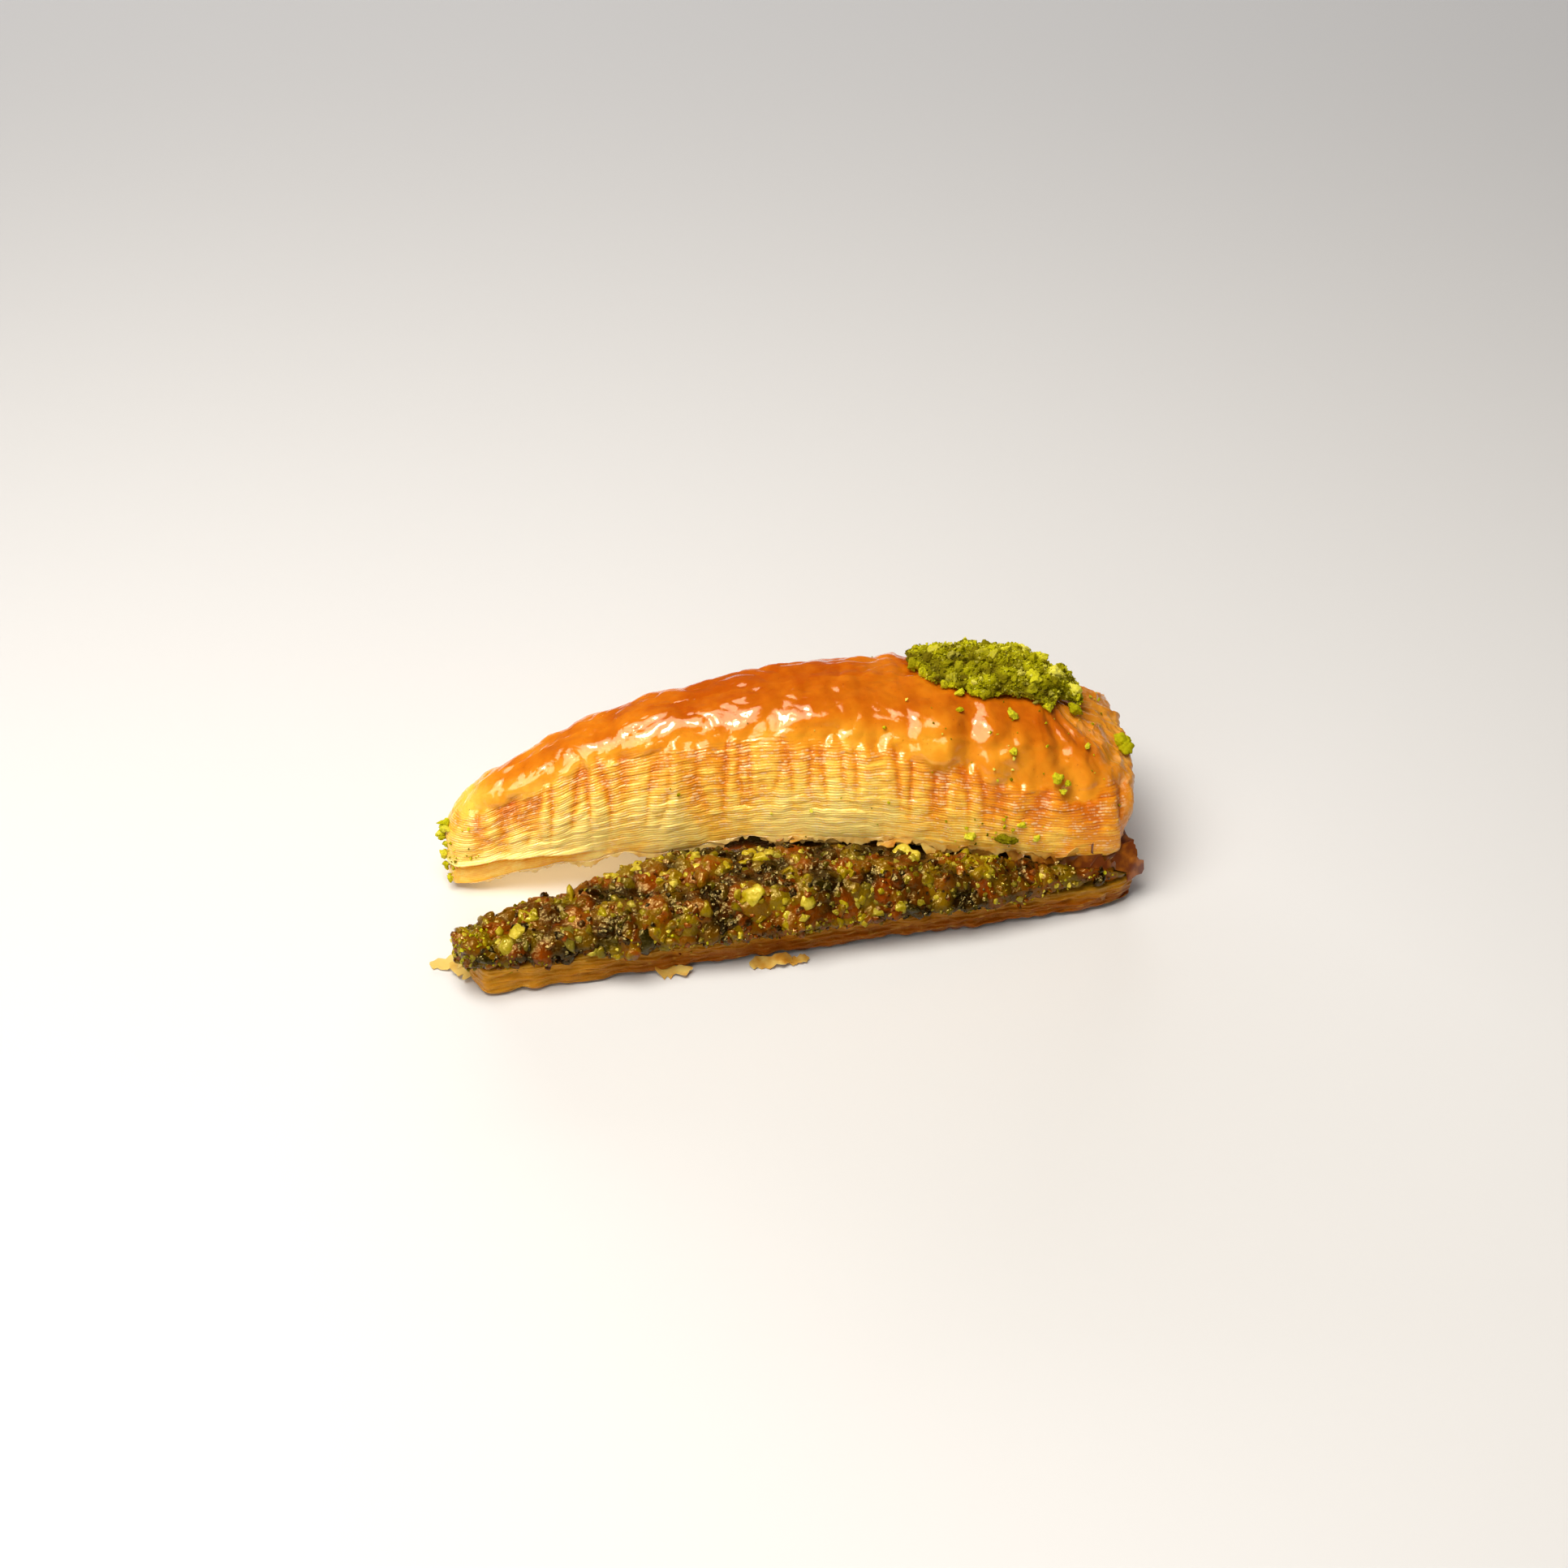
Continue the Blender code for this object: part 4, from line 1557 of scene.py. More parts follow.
@dataclass(frozen=True)
class Scatter:
    """Small pieces strewn over a surface with Geometry Nodes.

    Args:
        name: the finished piece's name.
        shape: what the pieces are shaped like.
        mark: the ground's attribute that says where they lie, from 0 to 1.
        crowd: pieces on a square centimetre where the mark is 1.
        spacing: the least distance between two pieces.
        sizes: the smallest and the largest piece's width.
        sink: how deep a piece sits in the ground, as a share of its width.
        tumble: how far a piece leans, in degrees.
        seed: the draw of the places, turns and sizes.
        kinds: how many shapes there are.
        squash: a piece's thickness over its width, for a chunk, a grain or a flake.
    """

    name: str
    shape: Chip
    mark: str
    crowd: float
    spacing: float
    sizes: tuple[float, float]
    sink: float
    tumble: float
    seed: int
    kinds: int = 7
    squash: float = 0.75

    def _kinds(self) -> bpy.types.Collection:
        """Makes the shapes.

        Returns:
            Them, in a collection that the scene doesn't show.
        """
        store = bpy.data.collections.new(self.name + "_kinds")
        make = {
            Chip.LUMP: lambda name, seed: knobbly(name, seed, Knobs(3, 0.34, 0.22)),
            Chip.CHUNK: lambda name, seed: chopped(name, seed, self.squash, knob=True),
            Chip.GRAIN: lambda name, seed: chopped(name, seed, self.squash, knob=False),
            Chip.CLUMP: lambda name, seed: knobbly(name, seed, Knobs(4, 0.21, 0.42)),
            Chip.FLAKE: lambda name, seed: torn(name, seed, self.squash)}[self.shape]
        for kind in range(self.kinds):
            store.objects.link(make(f"{self.name}_kind_{kind}", 100 * self.seed + kind))
        return store

    def _group(self, store: bpy.types.Collection,
               material: bpy.types.Material) -> bpy.types.NodeTree:
        """The node group that strews, turns, sizes and tints the pieces.

        Args:
            store: the shapes.
            material: the pieces' finish.

        Returns:
            The group, with a named input for each of its sizes.
        """
        group = bpy.data.node_groups.new(self.name, "GeometryNodeTree")
        ports = group.interface
        ports.new_socket("Geometry", in_out="OUTPUT", socket_type="NodeSocketGeometry")
        ports.new_socket("Geometry", in_out="INPUT", socket_type="NodeSocketGeometry")
        for label in ("Crowd", "Spacing", "Smallest", "Largest", "Sink", "Tumble"):
            ports.new_socket(label, in_out="INPUT", socket_type="NodeSocketFloat")
        ports.new_socket("Seed", in_out="INPUT", socket_type="NodeSocketInt")
        nodes = Nodes(group)
        given = nodes.node("NodeGroupInput")
        where = nodes.node("GeometryNodeInputNamedAttribute", {"data_type": "FLOAT"},
                           {"Name": self.mark})
        spots = nodes.node(
            "GeometryNodeDistributePointsOnFaces", {"distribute_method": "POISSON"},
            {"Mesh": given, "Distance Min": given.other("Spacing"),
             "Density Max": given.other("Crowd"), "Density Factor": where,
             "Seed": given.other("Seed")})
        draw = nodes.node("FunctionNodeRandomValue", {"data_type": "FLOAT"},
                          {2: 0.0, 3: 1.0, "Seed": given.other("Seed") + 1}, 1)
        mostly_small = 2.2
        size = (given.other("Smallest")
                + (given.other("Largest") - given.other("Smallest")) * draw**mostly_small)
        down = nodes.node("ShaderNodeVectorMath", {"operation": "SCALE"},
                          {0: spots.other("Normal"), "Scale": size * given.other("Sink") * -1})
        sunk = nodes.node("GeometryNodeSetPosition", {}, {"Geometry": spots, "Offset": down})
        lean = given.other("Tumble") * math.radians(1)
        low = nodes.node("ShaderNodeCombineXYZ", {}, {0: lean * -1, 1: lean * -1, 2: -math.pi})
        high = nodes.node("ShaderNodeCombineXYZ", {}, {0: lean, 1: lean, 2: math.pi})
        turn = nodes.node("FunctionNodeRandomValue", {"data_type": "FLOAT_VECTOR"},
                          {0: low, 1: high, "Seed": given.other("Seed") + 2}, 0)
        lying = nodes.node("FunctionNodeRotateRotation", {"rotation_space": "LOCAL"},
                           {0: spots.other("Rotation"), 1: turn})
        kinds = nodes.node("GeometryNodeCollectionInfo", {},
                           {"Collection": store, "Separate Children": True,
                            "Reset Children": True})
        which = nodes.node("FunctionNodeRandomValue", {"data_type": "INT"},
                           {4: 0, 5: self.kinds - 1, "Seed": given.other("Seed") + 3}, 2)
        pieces = nodes.node("GeometryNodeInstanceOnPoints", {},
                            {"Points": sunk, "Instance": kinds, "Pick Instance": True,
                             "Instance Index": which, "Rotation": lying, "Scale": size})
        tint = nodes.node("FunctionNodeRandomValue", {"data_type": "FLOAT"},
                          {2: 0.0, 3: 1.0, "Seed": given.other("Seed") + 4}, 1)
        tinted = nodes.node("GeometryNodeStoreNamedAttribute",
                            {"data_type": "FLOAT", "domain": "INSTANCE"},
                            {"Geometry": pieces, "Name": "tint", "Value": tint})
        real = nodes.node("GeometryNodeRealizeInstances", {}, {0: tinted})
        dressed = nodes.node("GeometryNodeSetMaterial", {},
                             {"Geometry": real, "Material": material})
        nodes.node("NodeGroupOutput", {}, {0: dressed})
        return group

    def over(self, ground: bpy.types.Object, material: bpy.types.Material) -> bpy.types.Object:
        """Strews the pieces.

        Args:
            ground: the object that they lie on.
            material: their finish.

        Returns:
            One object with all the pieces as plain mesh.
        """
        store = self._kinds()
        group = self._group(store, material)
        carrier = new_object(self.name + "_carrier", ground.data)
        modifier = carrier.modifiers.new(self.name, "NODES")
        modifier.node_group = group
        smallest, largest = self.sizes
        values = {"Crowd": self.crowd / CENTIMETRE**2, "Spacing": self.spacing,
                  "Smallest": smallest, "Largest": largest, "Sink": self.sink,
                  "Tumble": self.tumble, "Seed": self.seed}
        for item in group.interface.items_tree:
            if item.in_out == "INPUT" and item.name in values:
                modifier[item.identifier] = values[item.name]
        ready = carrier.evaluated_get(bpy.context.evaluated_depsgraph_get())
        mesh = bpy.data.meshes.new_from_object(ready)
        carrier.modifiers.clear()
        bpy.data.objects.remove(carrier)
        for item in list(store.objects):
            bpy.data.objects.remove(item)
        bpy.data.collections.remove(store)
        bpy.data.node_groups.remove(group)
        self._lift(mesh)
        return new_object(self.name, mesh)

    def _lift(self, mesh: bpy.types.Mesh) -> None:
        """Lifts the pieces that reach below the floor until they stand on it.

        Args:
            mesh: the pieces, each known by its random tint.
        """
        if not len(mesh.vertices):
            return
        spots = np.zeros(3 * len(mesh.vertices), np.float32)
        mesh.vertices.foreach_get("co", spots)
        spots = spots.reshape(-1, 3)
        tints = np.zeros(len(spots), np.float32)
        mesh.attributes["tint"].data.foreach_get("value", tints)
        _, piece = np.unique(tints, return_inverse=True)
        low = np.zeros(piece.max() + 1)
        np.minimum.at(low, piece, spots[:, 2])
        spots[:, 2] -= low[piece]
        mesh.vertices.foreach_set("co", spots.ravel())


# Torn leaves round the base: each one's place and length in millimetres, its turns in degrees, and
# its tint from pale to brown.
LOOSE_LEAVES = (
    ((-88.0, -4.0, 1.3), 11, (4, -3, -21), 0.1), ((-86.0, -9.0, 1.6), 9, (8, 4, -50), 0.2),
    ((-40.0, -25.9, 0.9), 9, (14, 3, -17), 0.5), ((-17.0, -31.2, 1.0), 11, (12, -2, -13), 0.5),
    ((-11.0, -32.4, 0.8), 6, (10, 4, -6), 0.6), ((71.0, -36.2, 12.2), 17, (65, 38, -10), 1.3),
    ((75.0, -33.0, 11.0), 14, (70, 62, -35), 1.5), ((65.0, -37.6, 11.4), 12, (62, 12, -4), 1.2),
    ((75.0, -25.0, 12.5), 13, (75, 80, -60), 1.5))


@dataclass
class Base:
    """The pressed bottom leaves: thin wavy layers, wet with syrup.

    Args:
        layers: how many layers show on the side.
        layer_edge: how far a layer's edge stands out.
        wave: how deep the side's waves are.
        wave_width: their spacing.
        wrinkle: how deep its wrinkles are.
        flat_inside: how far the top is lowered where the filling lies on it.
        flakes: torn leaves at the foot.
        crumbs: chopped nuts along the top edge.
    """

    layers: int = 9
    layer_edge: float = 0.28 * MM
    wave: float = 0.9 * MM
    wave_width: float = 10.0 * MM
    wrinkle: float = 0.8 * MM
    flat_inside: float = 0.25 * MM
    flakes: Scatter = Scatter(
        "foot_flakes", Chip.FLAKE, "foot", crowd=3.2, spacing=2 * MM, sizes=(1.5 * MM, 6.5 * MM),
        sink=0.02, tumble=24, seed=57, kinds=6, squash=0.045)
    crumbs: Scatter = Scatter(
        "base_crumbs", Chip.CHUNK, "dust", crowd=20, spacing=0.8 * MM,
        sizes=(0.5 * MM, 2.4 * MM), sink=0.1, tumble=80, seed=59)
    wrap: Wrap = field(init=False)

    def __post_init__(self) -> None:
        """Wraps the solid."""
        self.wrap = Wrap(Node.BASE, tip_inset=0.006, rim_inset=0.024, pitch=0.5 * MM,
                         under_rows=4, side_rows=40, top_rows=34, shoulder=0.92, softening=4)

    def build(self) -> list[bpy.types.Object]:
        """Makes the pressed leaves, and what lies on and round them.

        Returns:
            The pressed leaves, the flakes, the crumbs and the loose leaves.
        """
        wrap = self.wrap
        rise = wrap.rise
        waver = 0.07 * Noise(51)(wrap.drum(), 12 * MM) + 0.03 * Noise(52)(wrap.drum(), 4 * MM)
        layer = self.layers * (rise + waver)
        part = layer - np.floor(layer)
        reach = Noise(53)(wrap.drum(np.floor(layer) * 3 * MM), 6 * MM)
        relief = self.layer_edge * (1 - np.abs(2 * part - 1) ** 3 + 1.2 * reach)
        relief += self.wave * Noise(54)(wrap.drum(rise * 12 * MM), self.wave_width)
        relief += self.wrinkle * Noise(55)(wrap.drum(rise * 12 * MM), (5 * MM, 5 * MM, 2.2 * MM))
        relief -= 0.5 * MM * hump(0.0, 0.35, Noise(60)(wrap.drum(rise * 1.5 * MM), 5 * MM))
        inside = ease(0.0, 6 * MM, wrap.from_edge - 9 * MM)
        relief = relief * (1 - inside) - self.flat_inside * inside
        relief = np.where(wrap.underside(), 0.0, relief)
        grid = wrap.pushed(relief)
        grid[..., 2] = np.maximum(grid[..., 2], 0.0)
        dust = ease(0.0, 1.0, rise) * ease(-0.1, 0.5, Noise(58)(grid, 8 * MM))
        dust *= (1 - inside) * ease(0.155, 0.145, wrap.along)
        marks = {"depth": rise, "tip": 1 - ease(0.0, 0.05, wrap.along),
                 "foot": hump(0.0, 1.2 * MM, wrap.from_edge),
                 "weave": wrap.drum(layer * 0.9 * MM), "dust": dust}
        core = sheet("pressed_leaves", grid, marks, False, True)
        core.data.materials.append(SoakedPastry().material())
        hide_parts(Node.BASE.value)
        flakes = self.flakes.over(core, TornLeaf().material())
        crumbs = self.crumbs.over(core, WET_NUT.material())
        leaves = placed_leaves("loose_leaves", LOOSE_LEAVES, 95)
        leaves.data.materials.append(TornLeaf().material())
        return [core, flakes, crumbs, leaves]


# The largest pieces in the filling: each one's place and width in millimetres, and its tint, from
# dark skin through rust and olive to yellow-green.
LARGE_NUTS = (
    ((-75.6, -15.0, 12.4), 6.4, 0.95), ((-72.1, -13.2, 12.8), 6.0, 0.04),
    ((-71.0, -18.6, 9.8), 7.0, 0.0), ((-69.4, -10.6, 13.2), 7.6, 0.25),
    ((-64.2, -18.8, 11.8), 6.0, 0.86), ((-53.1, -15.0, 14.4), 7.0, 0.28),
    ((-41.6, -3.2, 15.0), 6.0, 0.90), ((-38.0, -5.4, 15.0), 6.6, 0.27),
    ((-34.4, -11.2, 14.8), 7.0, 0.50), ((-30.7, -23.8, 13.0), 6.0, 0.8),
    ((-23.8, -12.7, 16.0), 9.6, 0.42), ((-14.1, -12.2, 16.6), 8.2, 0.78),
    ((-19.8, -24.2, 16.0), 8.6, 0.80), ((-11.2, -23.6, 17.0), 6.4, 0.05),
    ((5.3, -30.4, 14.4), 7.6, 1.0), ((20.4, -24.5, 15.8), 8.2, 0.92),
    ((30.1, -32.2, 14.6), 6.2, 0.28), ((39.5, -29.5, 13.8), 6.0, 0.85),
    ((47.6, -34.2, 12.4), 10.0, 0.08))


@dataclass
class Filling:
    """The pressed layer of chopped pistachio and syrup.

    Args:
        lump: how high the paste's lumps are.
        lump_width: their spacing.
        nub: how high the small lumps on them are.
        nub_width: their spacing.
        under_lid: how near the lid covers the filling.
        floor: the least height of the paste, inside the base's top.
        big: the largest strewn nuts.
        chopped: the nuts that cover most of it.
        bits: small dry bits near the rim and low on the side.
        bright: fresh crumbs, most of them at the tip.
    """

    lump: float = 2.1 * MM
    lump_width: float = 4.8 * MM
    nub: float = 0.9 * MM
    nub_width: float = 2.1 * MM
    under_lid: float = 1.5 * MM
    floor: float = 7.0 * MM
    big: Scatter = Scatter(
        "big_nuts", Chip.LUMP, "nuts", crowd=9, spacing=3.9 * MM, sizes=(4.2 * MM, 8.0 * MM),
        sink=0.26, tumble=40, seed=60)
    chopped: Scatter = Scatter(
        "chopped_nuts", Chip.CHUNK, "crumbs", crowd=40, spacing=1.8 * MM,
        sizes=(2.2 * MM, 4.8 * MM), sink=0.12, tumble=60, seed=61)
    bits: Scatter = Scatter(
        "nut_bits", Chip.GRAIN, "dry", crowd=42, spacing=0.9 * MM, sizes=(0.8 * MM, 2.2 * MM),
        sink=-0.15, tumble=80, seed=62)
    bright: Scatter = Scatter(
        "bright_crumbs", Chip.GRAIN, "bright", crowd=46, spacing=0.5 * MM,
        sizes=(0.5 * MM, 1.5 * MM), sink=-0.15, tumble=90, seed=63)
    wrap: Wrap = field(init=False)

    def __post_init__(self) -> None:
        """Wraps the solid."""
        self.wrap = Wrap(Node.FILLING, tip_inset=0.006, rim_inset=0.024, pitch=0.5 * MM,
                         under_rows=4, side_rows=34, top_rows=50, shoulder=0.92, softening=4)

    def _open(self, lid: Wrap) -> np.ndarray:
        """Finds where the filling is open to the air.

        Args:
            lid: the wrap of the lid.

        Returns:
            1 where it is open and 0 where the lid or the base covers it, for each point.
        """
        close = [lid.tree.find_nearest(Vector(spot), self.under_lid)[0] is not None
                 for spot in self.wrap.grid.reshape(-1, 3)]
        shut = np.reshape(close, self.wrap.rise.shape).astype(float)
        shut = blur(blur(shut, 4, axis=0, loop=False), 4, axis=1, loop=True)
        return (1 - shut) * ease(-0.4 * MM, 0.2 * MM, self.wrap.from_edge)

    def _spread(self, base: Wrap) -> np.ndarray:
        """Works out how far the filling is carried outwards, so that it reaches the base's edge.

        Args:
            base: the wrap of the base.

        Returns:
            The way that each point goes, as a vector.
        """
        wrap = self.wrap
        edge = wrap.grid[wrap.under_rows, :, :2]
        out = edge - wrap.spine[:, :2]
        out /= np.linalg.norm(out, axis=1, keepdims=True)
        level, margin, farthest = 5 * MM, 1 * MM, 9 * MM
        gaps = []
        for spot, way in zip(edge, out):
            hit = base.hit(np.array((*spot, level)), np.array((*way, 0.0)))
            gaps.append(np.linalg.norm(hit[:2] - spot))
        gap = np.array(gaps) - margin
        gap = np.where(gap > farthest, 0.0, np.maximum(gap, 0.0))
        gap = blur(gap, 12, axis=0, loop=True)
        ragged = 1.0 + 0.10 * Noise(37)(wrap.drum(), 6 * MM) + 0.05 * Noise(38)(wrap.drum(), 2 * MM)
        share = (1 - ease(0.0, 1.0, wrap.rise)) ** 1.3 * (1 - ease(0.1, 0.5, wrap.to_rim))
        return at(out[:, 0], out[:, 1])[None] * (gap * share * ragged)[..., None]

    def build(self, lid: Wrap, base: Wrap) -> list[bpy.types.Object]:
        """Makes the paste and strews the chopped nuts.

        Args:
            lid: the wrap of the lid, under which nothing may stick up.
            base: the wrap of the base, whose top the nuts cover.

        Returns:
            The paste, the four kinds of strewn nuts and the largest nuts.
        """
        wrap = self.wrap
        big, shade = Noise(31).lumps(wrap.grid, self.lump_width)
        small, _ = Noise(32).lumps(wrap.grid, self.nub_width)
        relief = self.lump * (0.75 - big**1.3) + self.nub * (0.6 - small)
        relief += 0.8 * MM * Noise(33)(wrap.grid, 11 * MM) + 0.12 * MM * Noise(34)(wrap.grid, MM)
        free = self._open(lid) * ease(0.162, 0.152, wrap.along)
        relief = relief * (0.15 + 0.85 * free) - 0.5 * MM * (1 - free)
        relief = np.where(wrap.underside(), -0.1 * MM, relief)
        grid = wrap.pushed(relief) + self._spread(base)
        sag = 1.6 * MM * ease(-0.1, 0.7, Noise(39)(wrap.drum(), 5 * MM)) * (1 - wrap.rise) ** 4
        grid[..., 2] = np.maximum(grid[..., 2] - sag, self.floor)
        front = base.grid[..., 1].min()
        grid[..., 1] = np.maximum(grid[..., 1], front + 0.4 * MM)
        tip = 1 - ease(0.002, 0.012, wrap.along)
        dryness = np.maximum(ease(0.085, 0.14, wrap.along), ease(0.5, 0.2, wrap.rise))
        dryness = np.clip(dryness + 0.5 * Noise(40)(wrap.grid, 9 * MM), 0.06, 1.0)
        crowd = free * (0.5 + 0.5 * ease(-0.4, 0.4, Noise(36)(wrap.grid, 6 * MM)))
        # The mark deep is painted shade in the paste's hollows, made darker at random in pools; the
        # strewn nuts take it too.
        pools = 1.3 * Noise(66)(wrap.grid, 8 * MM)
        marks = {"lump": shade, "deep": np.clip(0.80 - 1.2 * relief / self.lump + pools, 0, 0.97),
                 "dry": free * dryness,
                 "nuts": crowd * ease(front + 0.5 * MM, front + 3.0 * MM, grid[..., 1]),
                 "crumbs": crowd * ease(front, front + 1.2 * MM, grid[..., 1]),
                 "bright": free * np.clip(tip + 0.10, 0, 1)}
        paste = sheet("nut_paste", grid, marks, False, True)
        paste.data.materials.append(NutPaste().material())
        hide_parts(Node.FILLING.value)
        wet, dry = WET_NUT.material(), GROUND_NUT.material()
        strewn = [self.big.over(paste, wet), self.chopped.over(paste, wet),
                  self.bits.over(paste, wet), self.bright.over(paste, dry)]
        strewn.append(placed("large_nuts", LARGE_NUTS, 65, Knobs(4, 0.30, 0.24)))
        strewn[-1].data.materials.append(wet)
        return [paste, *strewn]


@dataclass
class Heap:
    """Ground pistachio on the crust: a crumbly heap with loose grains.

    Args:
        lump: how high the core's lumps are.
        lump_width: their spacing.
        nub: how high the small lumps on them are.
        nub_width: their spacing.
        shrink: how much smaller the core is than the heap.
        grains: single grains over the core.
        clumps: grains that cling together.
    """

    lump: float = 2.4 * MM
    lump_width: float = 4.2 * MM
    nub: float = 0.9 * MM
    nub_width: float = 1.4 * MM
    shrink: float = 1.3 * MM
    grains: Scatter = Scatter(
        "powder_grains", Chip.GRAIN, "grains", crowd=330, spacing=0.35 * MM,
        sizes=(0.4 * MM, 1.4 * MM), sink=-0.2, tumble=90, seed=45, kinds=9)
    clumps: Scatter = Scatter(
        "powder_clumps", Chip.CLUMP, "grains", crowd=18, spacing=1.9 * MM,
        sizes=(1.8 * MM, 4.4 * MM), sink=0.08, tumble=90, seed=46, kinds=8)
    wrap: Wrap = field(init=False)

    def __post_init__(self) -> None:
        """Wraps the solid."""
        self.wrap = Wrap(Node.HEAP, tip_inset=0.012, rim_inset=0.012, pitch=0.4 * MM,
                         under_rows=4, side_rows=20, top_rows=60, shoulder=0.5, softening=4)

    def build(self) -> list[bpy.types.Object]:
        """Makes the heap's core and its grains.

        Returns:
            The core, the grains and the clumps.
        """
        wrap = self.wrap
        big, _ = Noise(41).lumps(wrap.grid, self.lump_width)
        small, _ = Noise(42).lumps(wrap.grid, self.nub_width)
        relief = self.lump * (0.7 - big**1.4) + self.nub * (0.6 - small) - self.shrink
        under = wrap.underside()
        grid = wrap.pushed(np.where(under, 0.0, relief))
        # deep is painted shade between the core's lumps; the grains strewn on it take it too.
        marks = {"tint": 0.25 + 0.35 * (0.7 - big), "deep": np.clip(1.6 * big - 0.55, 0, 1),
                 "grains": np.where(under, 0.0, np.ones_like(relief))}
        core = sheet("powder_core", grid, marks, False, True)
        dry = GROUND_NUT.material()
        core.data.materials.append(dry)
        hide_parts(Node.HEAP.value)
        grains = self.grains.over(core, dry)
        clumps = self.clumps.over(core, dry)
        return [core, grains, clumps]


@dataclass
class Trimmings:
    """What has fallen or stuck on the lid: ground pistachio, and leaves torn at its edges.

    Args:
        crumbs: the ground pistachio.
        leaves: the torn leaves.
    """

    crumbs: Scatter = Scatter(
        "spilt_crumbs", Chip.GRAIN, "spill", crowd=36, spacing=0.7 * MM,
        sizes=(0.6 * MM, 1.7 * MM), sink=-0.3, tumble=90, seed=71, kinds=9)
    leaves: Scatter = Scatter(
        "edge_flakes", Chip.FLAKE, "torn", crowd=3, spacing=3 * MM, sizes=(4 * MM, 14 * MM),
        sink=-0.02, tumble=16, seed=72, kinds=8, squash=0.02)

    def build(self, ground: list[bpy.types.Object], tree: BVHTree) -> list[bpy.types.Object]:
        """Strews crumbs and torn leaves.

        Args:
            ground: objects with the marks "spill" and "torn".
            tree: the lid's surface.

        Returns:
            The clumps, the crumbs and the leaves.
        """
        dry = GROUND_NUT.material()
        made = [placed("spilt_lumps", SPILT_CLUMPS, 110, Knobs(4, 0.20, 0.5), tree)]
        made[0].data.materials.append(dry)
        for number, piece in enumerate(ground):
            for strewn, slot in ((self.crumbs, Slot.GROUND), (self.leaves, Slot.BAKED)):
                if strewn is self.leaves and piece.name == "crust":
                    continue
                finish = TornLeaf().material() if strewn is self.leaves else dry
                name = f"{strewn.name}_{number}"
                made.append(replace(strewn, name=name).over(piece, finish))
        return [piece for piece in made if len(piece.data.polygons)]


class Lights(Enum):
    """What a soft light is for."""

    FILL = "fill"
    SHINE = "shine"
    GLOW = "glow"


@dataclass(frozen=True)
class Softbox:
    """A rectangular soft light.

    Args:
        name: its name.
        lights: whether it lights surfaces, is mirrored in wet ones, or glows unseen.
        place: where it hangs.
        aim: the place that it is turned to.
        size: its width and depth.
        power: its power in watts.
        colour: its colour.
    """

    name: str
    lights: Lights
    place: tuple
    aim: tuple
    size: tuple[float, float]
    power: float
    colour: tuple

    def hang(self) -> None:
        """Hangs the light in the scene."""
        lamp = bpy.data.lights.new(self.name, "AREA")
        lamp.shape = "RECTANGLE"
        lamp.size, lamp.size_y = self.size
        lamp.energy = self.power
        lamp.color = self.colour
        item = new_object(self.name, lamp)
        item.location = self.place
        item.visible_camera = self.lights is not Lights.GLOW
        item.visible_glossy = self.lights is Lights.SHINE
        item.visible_diffuse = self.lights is not Lights.SHINE
        way = Vector(self.aim) - Vector(self.place)
        item.rotation_euler = way.to_track_quat("-Z", "Y").to_euler()


# The middle of the slice, at which most of the lights are aimed.
SLICE = (0.0, 0.0, 0.02)

SOFTBOXES = (
    Softbox("overhead", Lights.FILL, (-0.25, -0.10, 0.70), SLICE, (0.60, 0.50), 8.2,
            (1.0, 0.94, 0.84)),
    Softbox("window", Lights.FILL, (-0.75, -0.75, 0.50), SLICE, (0.8, 0.6), 3.6,
            (1.0, 0.95, 0.86)),
    Softbox("glow", Lights.GLOW, (-0.055, 0.022, 0.004), (-0.055, 0.022, 0.0), (0.05, 0.014),
            0.0012, (1.0, 0.62, 0.16)),
    Softbox("back", Lights.FILL, (0.3, 2.1, 0.50), (0, 0.8, 0), (2.2, 0.35), 48.0,
            (1.0, 0.98, 0.96)),
    Softbox("panel", Lights.SHINE, (-0.27, 0.02, 0.70), SLICE, (0.66, 0.56), 8.6,
            (1.0, 0.93, 0.82)),
    Softbox("side_panel", Lights.SHINE, (-0.62, -0.10, 0.46), SLICE, (0.42, 0.34), 3.4,
            (1.0, 0.93, 0.82)),
    Softbox("hot_spot", Lights.SHINE, (-0.26, 0.02, 0.68), SLICE, (0.15, 0.12), 4.2,
            (1.0, 0.97, 0.92)))


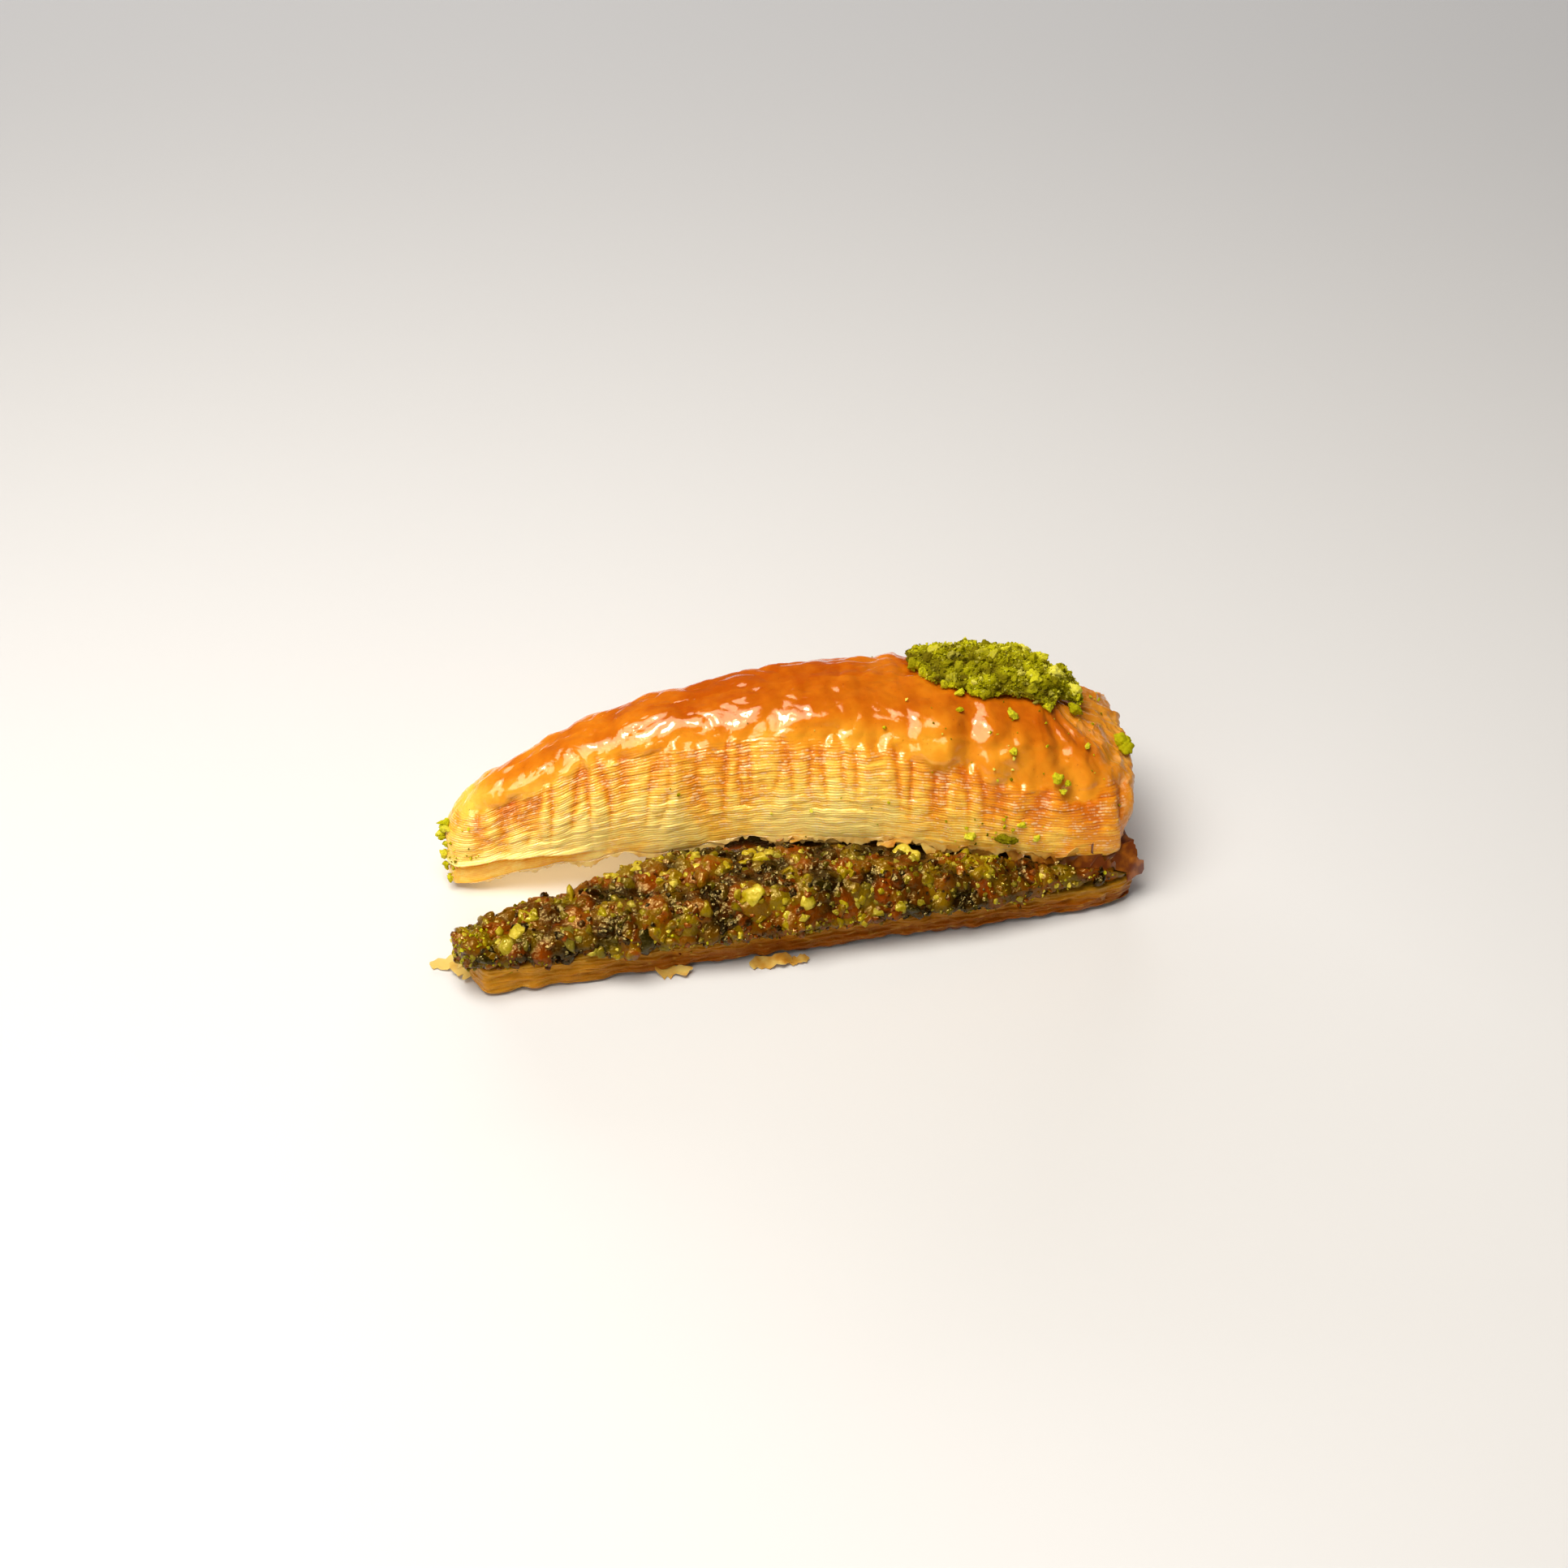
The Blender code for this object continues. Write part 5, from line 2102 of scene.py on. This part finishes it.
@dataclass
class Studio:
    """A pale floor, soft light from the upper left, and the camera.

    Args:
        floor_width: how wide the floor is.
        floor_colour: its colour.
        room_colour: the colour of the light from all round.
        room_light: how strong that light is.
        camera_place: where the camera stands.
        camera_turn: how it is turned.
        lens: its focal length in millimetres.
        sensor: its sensor's width in millimetres.
    """

    floor_width: float = 6.0
    floor_colour: tuple = linear(212, 212, 214)
    room_colour: tuple = (0.80, 0.78, 0.76)
    room_light: float = 0.06
    camera_place: tuple = (-0.2142, -0.5440, 0.4225)
    camera_turn: tuple = (math.radians(56), 0.0, math.radians(-21.33))
    lens: float = 66.65
    sensor: float = 36.0

    def _floor(self) -> bpy.types.Object:
        """Lays the floor.

        Returns:
            It.
        """
        half = self.floor_width / 2
        mesh = bpy.data.meshes.new("floor")
        mesh.from_pydata([(-half, -half, 0), (half, -half, 0), (half, half, 0), (-half, half, 0)],
                         [], [(0, 1, 2, 3)])
        floor = new_object("floor", mesh)
        paint = Paint("floor_paint")
        mesh.materials.append(paint.finish(Base_Color=(*self.floor_colour, 1.0),
                                           Roughness=0.7, Specular_IOR_Level=0.2))
        return floor

    def _room(self) -> bpy.types.World:
        """Makes the even light from all round.

        Returns:
            The world that gives it.
        """
        world = bpy.data.worlds.new("room")
        world.use_nodes = True
        background = world.node_tree.nodes["Background"]
        background.inputs["Color"].default_value = (*self.room_colour, 1)
        background.inputs["Strength"].default_value = self.room_light
        return world

    def _camera(self) -> bpy.types.Object:
        """Makes the camera.

        Returns:
            It, in its place.
        """
        lens = bpy.data.cameras.new("camera")
        lens.lens, lens.sensor_width = self.lens, self.sensor
        lens.clip_start, lens.clip_end = 0.01, 20.0
        camera = new_object("camera", lens)
        camera.location, camera.rotation_euler = self.camera_place, self.camera_turn
        return camera

    def build(self) -> bpy.types.Object:
        """Sets the stage.

        Returns:
            The floor.
        """
        scene = bpy.context.scene
        scene.view_settings.view_transform = "Standard"
        floor = self._floor()
        for softbox in SOFTBOXES:
            softbox.hang()
        scene.world = self._room()
        scene.camera = self._camera()
        return floor


def main() -> None:
    """Builds the slice and its stage."""
    logging.basicConfig(level=logging.INFO, format="%(message)s")
    lid = Lid()
    pieces = lid.build()
    ground = pieces[:]
    pieces += lid.skins()
    base = Base()
    pieces += Filling().build(lid.wrap, base.wrap)
    pieces += base.build()
    pieces += Heap().build()
    pieces += Trimmings().build(ground, lid.wrap.tree)
    for piece in pieces:
        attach(piece, BODY)
        LOG.info("%s: %d faces", piece.name, len(piece.data.polygons))
    Studio().build()
    bpy.context.view_layer.update()


if __name__ == "__main__":
    main()
